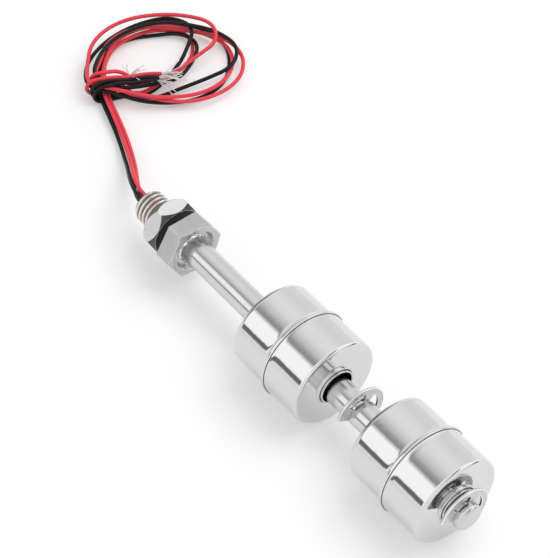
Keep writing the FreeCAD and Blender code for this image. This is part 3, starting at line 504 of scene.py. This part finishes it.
capsule_glass, shader, place = new_finish("capsule_glass", Transmission_Weight=0.9, IOR=1.5)
tint = place.noise(500.0)
tint.between((0.80, 0.93, 0.86, 1), (0.90, 0.98, 0.94, 1)).feeds(shader, "Base Color")
(tint * 0.05 + 0.02).feeds(shader, "Roughness")

plated_reed = worked_steel("plated_reed_metal", (0.72, 0.68, 0.60, 1), (0.55, 0.52, 0.47, 1),
                           roughness=0.22, spread=0.10, grain=6000.0, depth=0.000001, axis_z=REED_Z)

shrunk_sleeve, shader, place = new_finish("shrunk_sleeve", Transmission_Weight=0.3, IOR=1.45)
creases = place.stretched(300.0, 2500.0, 2500.0).noise(1.0, 3.0)
creases.between((0.60, 0.62, 0.64, 1), (0.74, 0.76, 0.78, 1)).feeds(shader, "Base Color")
(creases * 0.2 + 0.3).feeds(shader, "Roughness")
creases.bump(0.4, 0.00002).feeds(shader, "Normal")

grey_epoxy, shader, place = new_finish("grey_epoxy")
specks = place.noise(4500.0, 4.0, 0.7)
specks.between((0.030, 0.030, 0.032, 1), (0.075, 0.074, 0.073, 1)).feeds(shader, "Base Color")
(specks * 0.25 + 0.25).feeds(shader, "Roughness")
(specks + place.noise(700.0) * 2.0).bump(0.4, 0.00004).feeds(shader, "Normal")


def insulation(name, light, dark, roughness):
    """Extruded vinyl: a smooth skin with faint drag lines, a little shade, and dust that dulls its gloss."""
    material, shader, place = new_finish(name, IOR=1.5, Specular_IOR_Level=0.2, Coat_Roughness=0.12)
    shade = place.noise(260.0, 3.0, 0.6)
    specks = place.noise(5200.0, 2.0, 0.6)
    shade.between(light, dark).feeds(shader, "Base Color")
    (shade * 0.12 + specks * 0.06 + roughness).feeds(shader, "Roughness")
    (0.16 - shade * 0.14).feeds(shader, "Coat Weight")
    (specks + shade * 3.0).bump(0.25, 0.00001).feeds(shader, "Normal")
    return material


def refinish(node, finish):
    """Gives a CAD node that stays in the scene its finish."""
    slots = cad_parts[node].data.materials
    slots.clear()
    slots.append(finish)


red_vinyl = insulation("red_vinyl", (0.96, 0.088, 0.122, 1), (0.87, 0.054, 0.080, 1), 0.26)
black_vinyl = insulation("black_vinyl", (0.005, 0.004, 0.005, 1), (0.010, 0.008, 0.010, 1), 0.28)

for which in ("upper", "lower"):
    refinish(f"{which}_reed_glass", capsule_glass)
    refinish(f"{which}_reed_blade_near", plated_reed)
    refinish(f"{which}_reed_blade_far", plated_reed)
    refinish(f"{which}_reed_sleeve", shrunk_sleeve)
    refinish(f"inner_wire_red_{which}", red_vinyl)
    refinish(f"inner_wire_black_{which}", black_vinyl)
refinish("potting_plug", grey_epoxy)


# The floats: two cups deep-drawn from thin stainless sheet and mirror-polished. The upper cup slides
# into the lower one's rolled lip and is welded there, and both widen a little towards that seam.
# A tube through both ends carries the float on the stem, and inside it lies a ring magnet.
FLOATS = {"upper_float": 0.0014, "lower_float": 0.04939}
FLOAT_Z = 0.0140
CUP_RADIUS = 0.01345
CUP_WALL = 0.0004
CUP_STEPS = 180
LOWER_FACE = 0.01325
LOWER_RIM = 0.0010
LIP_RADIUS = 0.0140
LIP_HALF_WIDTH = 0.00045
LIP_ROUNDING = 0.00033
LIP_MIDDLE = 0.00012
SEAM_WIDTH = 0.00012
SEAM_DEPTH = 0.00008
SEAM_SLOPE = 0.00006
SPREAD_HEIGHT = 0.00012
SPREAD_LENGTH = 0.0026
LOWER_SEAM_SHADE_FACES = (0.00044, 0.00061)
UPPER_FACE = -0.0141
UPPER_RIM = 0.0018
INNER_CUP_RADIUS = 0.01301
TUCK = 0.0030
WELD_LINE = [(-0.00050, 0.0), (-0.00072, 0.00004)]
FLARE_START = -0.00080
FLARE_HEIGHT = 0.00015
FLARE_LENGTH = 0.0022
FLARE_STEPS = 14
UPPER_SEAM_SHADE_FACES = (-0.00083, -0.00045)
NECK_RADIUS = 0.00587
NECK_HEIGHT = 0.00055
NECK_ROUNDING = 0.0002
NECK_FILLET = 0.00015
HOLE_RADIUS = 0.00542
HOLE_CHAMFER = 0.00020
HOLE_CHAMFER_LENGTH = 0.0003
HOLE_SHADE = 0.00019
CORE_RADIUS = 0.0054
CORE_END_ROUNDING = 0.00027
COLLAR_HEIGHT = 0.0012

mirror_steel = worked_steel("mirror_polished_steel", grey(0.71), grey(0.67), roughness=0.035, spread=0.03,
                            grain=2600.0, depth=0.0000006, axis_z=FLOAT_Z, waviness=220.0)
# The seam's groove and the faces round the hole by the core are coloured dark: painted shade in those
# recesses.
seam_shade_steel = worked_steel("seam_painted_shade_steel", grey(0.36), grey(0.20),
                          roughness=0.30, spread=0.10, grain=3000.0, depth=0.000004, axis_z=FLOAT_Z)
core_steel = worked_steel("drawn_core_steel", grey(0.64), grey(0.54),
                          roughness=0.10, spread=0.05, grain=5000.0, depth=0.0000015, axis_z=FLOAT_Z)

ferrite, shader, place = new_finish("pressed_ferrite")
grains = place.noise(3800.0, 4.0, 0.7)
grains.between((0.016, 0.016, 0.018, 1), (0.05, 0.05, 0.052, 1)).feeds(shader, "Base Color")
(grains * 0.3 + 0.45).feeds(shader, "Roughness")
grains.bump(0.4, 0.00003).feeds(shader, "Normal")


def widening(start_x, towards, radius, height, length):
    """Places down a cup's side, from the seam on, where it comes in from its widest to its own radius."""
    shares = [step / FLARE_STEPS for step in range(FLARE_STEPS + 1)]
    return [(start_x + towards * length * share, radius + height * (1 - share) ** 3) for share in shares]


def closed_end(face, side, radius, rim):
    """The rest of a cup's outline, side to inside: the rim, the end face with its neck, and the inner rim."""
    inside = face - side * CUP_WALL
    inner_rim = rim - CUP_WALL
    end = 0 if side > 0 else 180
    outline = rounding(face - side * rim, radius - rim, rim, 90, end, count=10)
    outline += [(face, NECK_RADIUS + NECK_FILLET), (face + side * NECK_FILLET, NECK_RADIUS)]
    outline += rounding(face + side * (NECK_HEIGHT - NECK_ROUNDING), NECK_RADIUS - NECK_ROUNDING,
                        NECK_ROUNDING, 90, end, count=4)
    outline += [(face + side * NECK_HEIGHT, HOLE_RADIUS + HOLE_CHAMFER),
                (face + side * (NECK_HEIGHT - HOLE_CHAMFER_LENGTH), HOLE_RADIUS), (inside, HOLE_RADIUS)]
    return outline + rounding(inside - side * inner_rim, radius - rim, inner_rim, end, 90)


def float_cup(name, outline, seam_shade_faces, body, stands_for):
    """Turns a cup, and paints shade on the faces between two places along X, at its seam, and on those by the
    core.
    """
    cup = turned(outline, FLOAT_Z, CUP_STEPS)
    first, last = seam_shade_faces
    finish_faces(cup, 1, lambda normal, middle: first < middle.x < last
                 or HOLE_RADIUS < out_from(middle, FLOAT_Z) < HOLE_RADIUS + HOLE_SHADE)
    piece(name, cup, [mirror_steel, seam_shade_steel], body, stands_for)


for body, seam_x in FLOATS.items():
    groove = seam_x + LIP_HALF_WIDTH
    groove_floor = CUP_RADIUS + SPREAD_HEIGHT - SEAM_DEPTH
    outline = [(seam_x - LIP_HALF_WIDTH, CUP_RADIUS - CUP_WALL)]
    outline += rounding(seam_x - LIP_MIDDLE, LIP_RADIUS - LIP_ROUNDING, LIP_ROUNDING, 180, 90)
    outline += rounding(seam_x + LIP_MIDDLE, LIP_RADIUS - LIP_ROUNDING, LIP_ROUNDING, 90, 0)
    outline += [(groove, groove_floor), (groove + SEAM_WIDTH, groove_floor)]
    outline += widening(groove + SEAM_WIDTH + SEAM_SLOPE, 1, CUP_RADIUS, SPREAD_HEIGHT, SPREAD_LENGTH)
    outline += closed_end(seam_x + LOWER_FACE, 1, CUP_RADIUS, LOWER_RIM)
    float_cup(f"{body}_tip_side_cup", outline, [seam_x + edge for edge in LOWER_SEAM_SHADE_FACES], body,
              f"{body}_bottom_cup")

    outline = [(seam_x + TUCK, INNER_CUP_RADIUS - CUP_WALL), (seam_x + TUCK, INNER_CUP_RADIUS)]
    outline += [(seam_x + ahead, INNER_CUP_RADIUS + out) for ahead, out in WELD_LINE]
    outline += widening(seam_x + FLARE_START, -1, INNER_CUP_RADIUS, FLARE_HEIGHT, FLARE_LENGTH)
    outline += closed_end(seam_x + UPPER_FACE, -1, INNER_CUP_RADIUS, UPPER_RIM)
    float_cup(f"{body}_hexagon_side_cup", outline, [seam_x + edge for edge in UPPER_SEAM_SHADE_FACES], body,
              f"{body}_top_cup")

    first = seam_x + UPPER_FACE - COLLAR_HEIGHT + CORE_END_ROUNDING
    last = seam_x + LOWER_FACE + COLLAR_HEIGHT - CORE_END_ROUNDING
    outline = rounding(first, CORE_RADIUS - CORE_END_ROUNDING, CORE_END_ROUNDING, 90, 270, count=8)
    outline += rounding(last, CORE_RADIUS - CORE_END_ROUNDING, CORE_END_ROUNDING, -90, 90, count=8)
    piece(f"{body}_core", turned(outline, FLOAT_Z), [core_steel], body, f"{body}_core_tube")
    refinish(f"{body}_magnet", ferrite)


# The bare ends: the copper strands in each wire are tinned, and stripping and handling has frayed them.
# They spread from the cut insulation in a narrow fan, each with a bend of its own.
STRANDS = 9
STRAYS = 4
STRAND_RADIUS = 0.00012
BUNDLE_RADIUS = 0.00026
STRAIGHT_SPREAD = 0.22
HIDDEN_LENGTH = 0.0008
STRAND_BEND = 0.0008
STRAND_RISE = 0.0005
STRAND_LIFT = 0.0009
FANS = {
    "red_upper": ((-0.1205, 0.0310, 0.0049), (-0.1207, 0.0372, 0.0050), 2.2),
    "red_lower": ((-0.1152, 0.0390, 0.0049), (-0.1098, 0.0448, 0.0050), 1.9),
    "black_upper": ((-0.1142, 0.0376, 0.0051), (-0.1078, 0.0426, 0.0050), 1.5),
    "black_lower": ((-0.1132, 0.0362, 0.0049), (-0.1064, 0.0404, 0.0050), 1.4),
}

tinned_copper, shader, place = new_finish("tinned_copper", Metallic=1.0)
tarnish = place.noise(1500.0, 3.0, 0.6)
tarnish.between((0.96, 0.96, 0.95, 1), (0.70, 0.67, 0.64, 1)).feeds(shader, "Base Color")
(tarnish * 0.2 + 0.2).feeds(shader, "Roughness")


def smooth_lines(name, radius, lines, finish, sides, steps):
    """A curve object with a round, capped section. Its lines are smooth, with the places as controls."""
    curve = bpy.data.curves.new(name, "CURVE")
    curve.dimensions = "3D"
    curve.bevel_depth = radius
    curve.bevel_resolution = sides
    curve.resolution_u = steps
    curve.use_fill_caps = True
    for places in lines:
        spline = curve.splines.new("NURBS")
        spline.points.add(len(places) - 1)
        for point, spot in zip(spline.points, places):
            point.co = (*spot, 1.0)
        spline.order_u = 3
        spline.use_endpoint_u = True
    curve.materials.append(finish)
    thing = bpy.data.objects.new(name, curve)
    scene.collection.objects.link(thing)
    return thing


def frayed_strands(root, tip, spread):
    """The lines of a wire's strands, from its end to places round the tip. Sines make each one differ."""
    root, tip = Vector(root), Vector(tip)
    reach = (tip - root).length
    ahead = (tip - root).normalized()
    aside = ahead.cross(Vector((0, 0, 1))).normalized()
    above = aside.cross(ahead)
    lines = []
    for number in range(STRANDS):
        turn = math.tau * number / STRANDS
        start = root + (aside * math.cos(turn) + above * math.sin(turn)) * BUNDLE_RADIUS
        share = spread if number < STRAYS else STRAIGHT_SPREAD
        swing = share * (number % STRAYS / (STRAYS - 1) - 0.5 + 0.3 * math.sin(5.3 * number + reach * 9000))
        length = reach * (0.78 + 0.34 * math.sin(3.1 * number + reach * 4000))
        end = start + (ahead * math.cos(swing) + aside * math.sin(swing)) * length
        end += above * STRAND_LIFT * math.cos(2.3 * number)
        middle = start.lerp(end, 0.5) + aside * STRAND_BEND * share * math.sin(4.1 * number + 1.0)
        lines.append((start - ahead * HIDDEN_LENGTH, start, middle + above * STRAND_RISE, end))
    return lines


for which, (root, tip, spread) in FANS.items():
    fan = smooth_lines(f"frayed_{which}", STRAND_RADIUS, frayed_strands(root, tip, spread), tinned_copper,
                       sides=2, steps=6)
    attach(fan, "stem_assembly")
    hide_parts("stripped_ends")


# The four wires: stranded copper in vinyl, two red and two black, one pair for each reed switch.
# They leave the stud together, lie in a loose coil of two turns, and their ends wrap once round the start.
WIRE_DIAMETER = 0.00122
ROUTES = {
    "red_upper": (0.313, [
        (-0.0678, 0.0008, 0.0141), (-0.0720, 0.0008, 0.0141), (-0.0771, 0.0024, 0.0128),
        (-0.0828, 0.0053, 0.0102), (-0.0889, 0.0088, 0.0069), (-0.0953, 0.0121, 0.0043),
        (-0.1023, 0.0152, 0.0030), (-0.1096, 0.0178, 0.0031), (-0.1174, 0.0203, 0.0032),
        (-0.1237, 0.0227, 0.0034), (-0.1301, 0.0282, 0.0034), (-0.1359, 0.0347, 0.0032),
        (-0.1383, 0.0432, 0.0027), (-0.1361, 0.0515, 0.0023), (-0.1304, 0.0576, 0.0020),
        (-0.1236, 0.0620, 0.0018), (-0.1152, 0.0642, 0.0020), (-0.1071, 0.0605, 0.0023),
        (-0.1024, 0.0531, 0.0027), (-0.1021, 0.0441, 0.0034), (-0.1053, 0.0361, 0.0042),
        (-0.1101, 0.0294, 0.0051), (-0.1175, 0.0237, 0.0059), (-0.1241, 0.0179, 0.0063),
        (-0.1313, 0.0232, 0.0064), (-0.1379, 0.0291, 0.0061), (-0.1409, 0.0374, 0.0059),
        (-0.1400, 0.0459, 0.0058), (-0.1361, 0.0534, 0.0058), (-0.1305, 0.0595, 0.0060),
        (-0.1225, 0.0641, 0.0063), (-0.1150, 0.0602, 0.0060), (-0.1146, 0.0520, 0.0050),
        (-0.1142, 0.0444, 0.0037), (-0.1137, 0.0302, 0.0020), (-0.1185, 0.0280, 0.0020),
        (-0.1221, 0.0292, 0.0017), (-0.1243, 0.0253, 0.0007), (-0.1256, 0.0221, 0.0007),
        (-0.1265, 0.0203, 0.0037), (-0.1253, 0.0212, 0.0075), (-0.1237, 0.0241, 0.0079),
        (-0.1231, 0.0297, 0.0057), (-0.1205, 0.0310, 0.0044),
    ]),
    "black_upper": (0.311, [
        (-0.0678, -0.0008, 0.0141), (-0.0720, -0.0008, 0.0141), (-0.0777, 0.0013, 0.0122),
        (-0.0834, 0.0043, 0.0092), (-0.0894, 0.0078, 0.0057), (-0.0958, 0.0110, 0.0030),
        (-0.1027, 0.0142, 0.0017), (-0.1099, 0.0167, 0.0021), (-0.1177, 0.0191, 0.0023),
        (-0.1241, 0.0215, 0.0025), (-0.1322, 0.0269, 0.0026), (-0.1375, 0.0342, 0.0022),
        (-0.1390, 0.0432, 0.0017), (-0.1376, 0.0521, 0.0013), (-0.1322, 0.0590, 0.0010),
        (-0.1249, 0.0641, 0.0007), (-0.1162, 0.0646, 0.0007), (-0.1086, 0.0601, 0.0007),
        (-0.1031, 0.0531, 0.0008), (-0.1025, 0.0442, 0.0009), (-0.1062, 0.0360, 0.0011),
        (-0.1110, 0.0288, 0.0024), (-0.1175, 0.0227, 0.0050), (-0.1244, 0.0177, 0.0050),
        (-0.1327, 0.0233, 0.0044), (-0.1374, 0.0319, 0.0038), (-0.1389, 0.0404, 0.0037),
        (-0.1379, 0.0487, 0.0039), (-0.1344, 0.0565, 0.0042), (-0.1262, 0.0597, 0.0044),
        (-0.1205, 0.0529, 0.0040), (-0.1165, 0.0464, 0.0028), (-0.1130, 0.0336, 0.0010),
        (-0.1173, 0.0300, 0.0007), (-0.1190, 0.0274, 0.0007), (-0.1206, 0.0232, 0.0007),
        (-0.1220, 0.0201, 0.0007), (-0.1224, 0.0177, 0.0040), (-0.1214, 0.0190, 0.0075),
        (-0.1204, 0.0227, 0.0074), (-0.1189, 0.0272, 0.0064), (-0.1180, 0.0308, 0.0053),
        (-0.1165, 0.0344, 0.0050), (-0.1142, 0.0376, 0.0049),
    ]),
    "black_lower": (0.293, [
        (-0.0678, -0.0008, 0.0124), (-0.0720, -0.0008, 0.0124), (-0.0774, 0.0018, 0.0110),
        (-0.0828, 0.0053, 0.0082), (-0.0887, 0.0091, 0.0049), (-0.0951, 0.0125, 0.0023),
        (-0.1021, 0.0156, 0.0010), (-0.1093, 0.0179, 0.0014), (-0.1169, 0.0201, 0.0019),
        (-0.1232, 0.0224, 0.0020), (-0.1323, 0.0280, 0.0014), (-0.1376, 0.0347, 0.0009),
        (-0.1374, 0.0429, 0.0007), (-0.1336, 0.0500, 0.0008), (-0.1285, 0.0563, 0.0019),
        (-0.1204, 0.0572, 0.0027), (-0.1149, 0.0505, 0.0030), (-0.1111, 0.0426, 0.0036),
        (-0.1127, 0.0353, 0.0046), (-0.1172, 0.0239, 0.0058), (-0.1260, 0.0211, 0.0061),
        (-0.1323, 0.0280, 0.0060), (-0.1357, 0.0357, 0.0059), (-0.1357, 0.0445, 0.0058),
        (-0.1325, 0.0528, 0.0058), (-0.1260, 0.0587, 0.0056), (-0.1194, 0.0636, 0.0049),
        (-0.1106, 0.0650, 0.0044), (-0.1051, 0.0585, 0.0038), (-0.1066, 0.0501, 0.0029),
        (-0.1089, 0.0423, 0.0018), (-0.1113, 0.0332, 0.0007), (-0.1157, 0.0297, 0.0007),
        (-0.1179, 0.0268, 0.0007), (-0.1193, 0.0226, 0.0007), (-0.1205, 0.0193, 0.0007),
        (-0.1211, 0.0179, 0.0033), (-0.1205, 0.0192, 0.0064), (-0.1188, 0.0220, 0.0074),
        (-0.1175, 0.0264, 0.0069), (-0.1163, 0.0295, 0.0057), (-0.1148, 0.0331, 0.0058),
        (-0.1126, 0.0357, 0.0062),
    ]),
    "red_lower": (0.307, [
        (-0.0678, 0.0008, 0.0124), (-0.0720, 0.0008, 0.0124), (-0.0769, 0.0029, 0.0116),
        (-0.0823, 0.0062, 0.0092), (-0.0883, 0.0098, 0.0061), (-0.0948, 0.0132, 0.0035),
        (-0.1018, 0.0164, 0.0022), (-0.1092, 0.0190, 0.0023), (-0.1170, 0.0214, 0.0023),
        (-0.1233, 0.0239, 0.0022), (-0.1312, 0.0288, 0.0019), (-0.1363, 0.0356, 0.0017),
        (-0.1367, 0.0441, 0.0020), (-0.1340, 0.0525, 0.0018), (-0.1273, 0.0586, 0.0011),
        (-0.1193, 0.0544, 0.0007), (-0.1161, 0.0465, 0.0008), (-0.1165, 0.0380, 0.0022),
        (-0.1177, 0.0234, 0.0050), (-0.1254, 0.0200, 0.0050), (-0.1318, 0.0284, 0.0043),
        (-0.1367, 0.0336, 0.0044), (-0.1379, 0.0421, 0.0042), (-0.1350, 0.0500, 0.0036),
        (-0.1293, 0.0559, 0.0030), (-0.1227, 0.0612, 0.0031), (-0.1152, 0.0651, 0.0033),
        (-0.1071, 0.0643, 0.0030), (-0.1010, 0.0587, 0.0029), (-0.0989, 0.0507, 0.0029),
        (-0.1003, 0.0424, 0.0030), (-0.1047, 0.0355, 0.0032), (-0.1120, 0.0305, 0.0027),
        (-0.1167, 0.0271, 0.0028), (-0.1208, 0.0269, 0.0016), (-0.1228, 0.0231, 0.0007),
        (-0.1241, 0.0199, 0.0007), (-0.1242, 0.0173, 0.0043), (-0.1232, 0.0185, 0.0079),
        (-0.1223, 0.0224, 0.0073), (-0.1211, 0.0270, 0.0062), (-0.1196, 0.0296, 0.0054),
        (-0.1184, 0.0348, 0.0050), (-0.1152, 0.0390, 0.0049),
    ]),
}


for which, (length, points) in ROUTES.items():
    colour, vinyl = ("red", red_vinyl) if which.startswith("red") else ("black", black_vinyl)
    wire = smooth_lines(f"free_wire_{which}", WIRE_DIAMETER / 2, [points], vinyl, sides=5, steps=10)
    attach(wire, "stem_assembly")
    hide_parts(f"wire_{which}", "wire_coil")


# The table it lies on: a plain, matt, pale top that reaches out of view on all sides.
# The camera and the steel see it white, and it keeps the soft shadows.
TABLE_HALF_WIDTH = 1.5
TABLE_GLOW = 0.30

table = bmesh.new()
bmesh.ops.create_grid(table, x_segments=8, y_segments=8, size=TABLE_HALF_WIDTH)
mesh = bpy.data.meshes.new("table")
table.to_mesh(mesh)
table.free()
table_top = bpy.data.objects.new("table_top", mesh)
scene.collection.objects.link(table_top)

pale_table, shader, place = new_finish("pale_table", Roughness=0.9, Specular_IOR_Level=0.0,
                                       Emission_Strength=1.0)
place.noise(60.0, 2.0).between((0.795, 0.795, 0.80, 1), (0.805, 0.805, 0.81, 1)).feeds(shader, "Base Color")
seen = place.ray("Is Camera Ray", "Is Glossy Ray", "Is Transmission Ray")
seen.between(grey(0), grey(TABLE_GLOW)).feeds(shader, "Emission Color")
mesh.materials.append(pale_table)


# The studio's light: one large soft box stands behind and above, and the room's even light fills the rest.
# The polished steel sees the room's white walls with the dark gaps between them. Angles, in degrees, go
# round the stem's line, and the other numbers are how far a ray's direction points along it.
BOX_PLACE = Vector((0.15, 0.50, 1.15))
BOX_SIZE = (1.0, 0.9)
BOX_POWER = 6.2
ROOM_LIGHT = 0.60
STUDIO_BANDS = [
    (-180, 1.13), (-140, 1.20), (-120, 1.07), (-100, 0.97), (-60, 0.90), (-28, 1.02), (-12, 0.98), (0, 0.85),
    (10, 0.70), (21, 0.42), (28, 0.36), (38, 1.32), (72, 1.28), (75.5, 0.16), (84, 0.20), (88, 1.05),
    (180, 1.13),
]
REAR_BANDS = [
    (-180, 1.00), (-130, 1.05), (-88, 1.00), (-86, 0.18), (-76, 0.18), (-74, 1.20), (-38, 1.25), (-30, 0.38),
    (-20, 0.42), (-6, 0.80), (30, 0.95), (60, 1.10), (100, 0.85), (180, 1.00),
]
FAR_END_TONES = [(-1.0, 0.20), (-0.88, 0.30), (-0.78, 0.75), (-0.66, 0.95), (1.0, 0.95)]
NEAR_END_TONE = 1.32
BANDS_START = (-0.72, -0.63)
BANDS_END = (-0.32, -0.18)
REAR_START = (0.06, 0.20)
BAND_MIDDLE = 55
BAND_NARROWS = (-0.52, -0.66)
BAND_NARROWING = 1.1
BAND_OPENS = (-0.39, -0.22)
BAND_OPENING = 0.4


def share_of_turn(degrees):
    """An angle from -180 to 180 degrees as a number from 0 to 1."""
    return (degrees + 180) / 360


lamp = bpy.data.lights.new("soft_box", "AREA")
lamp.shape = "RECTANGLE"
lamp.size, lamp.size_y = BOX_SIZE
lamp.energy = BOX_POWER
soft_box = bpy.data.objects.new("soft_box", lamp)
scene.collection.objects.link(soft_box)
soft_box.matrix_world = Matrix.Translation(BOX_PLACE) @ BOX_PLACE.to_track_quat("Z", "Y").to_matrix().to_4x4()
soft_box.visible_glossy = False

world = bpy.data.worlds.new("studio")
scene.world = world
world.use_nodes = True
tree = world.node_tree
sky = Socket(tree, tree.nodes.new("ShaderNodeTexCoord").outputs["Generated"])
along, across, up = sky.axes()
angle = sky.sum("ARCTAN2", 0.0 - across, up) * (1 / math.tau) + 0.5
narrow = along.rise(*BAND_NARROWS)
width = narrow * narrow * BAND_NARROWING + 1.0 - along.rise(*BAND_OPENS) * BAND_OPENING
turn = (angle - share_of_turn(BAND_MIDDLE)) * width + share_of_turn(BAND_MIDDLE)
bands = turn.tones([(share_of_turn(at), tone) for at, tone in STUDIO_BANDS])
rear_bands = angle.tones([(share_of_turn(at), tone) for at, tone in REAR_BANDS])
far_end = (along * 0.5 + 0.5).tones([(at * 0.5 + 0.5, tone) for at, tone in FAR_END_TONES])
near_end = along.rise(*REAR_START).between(grey(NEAR_END_TONE), rear_bands)
bands = along.rise(*BANDS_END).between(along.rise(*BANDS_START).between(far_end, bands), near_end)
room = sky.ray("Is Glossy Ray").between(grey(ROOM_LIGHT), bands)
white = sky.ray("Is Camera Ray", "Is Transmission Ray")
white.between(room, grey(1)).feeds(tree.nodes["Background"], "Color")


# The camera: it stands in front, to the right and above, where the photograph was taken from.
# Its place and turn were worked out from the circles of the floats' lips and faces.
LENS = 143.5
SENSOR = 36.0
VIEW_RANGE = (0.05, 10.0)
EYE_PLACE = (0.286553, -0.234359, 0.471723)
EYE_RIGHT = (0.61939, 0.78508, 0.0)
EYE_UP = (-0.59429, 0.46888, 0.65345)
EYE_BACK = (0.51301, -0.40471, 0.75697)

camera = bpy.data.cameras.new("camera")
camera.lens = LENS
camera.sensor_width = SENSOR
camera.sensor_fit = "AUTO"
camera.clip_start, camera.clip_end = VIEW_RANGE
eye = bpy.data.objects.new("camera", camera)
scene.collection.objects.link(eye)
eye.matrix_world = Matrix.Translation(EYE_PLACE) @ Matrix((EYE_RIGHT, EYE_UP, EYE_BACK)).transposed().to_4x4()
scene.camera = eye

scene.view_settings.view_transform = "Standard"
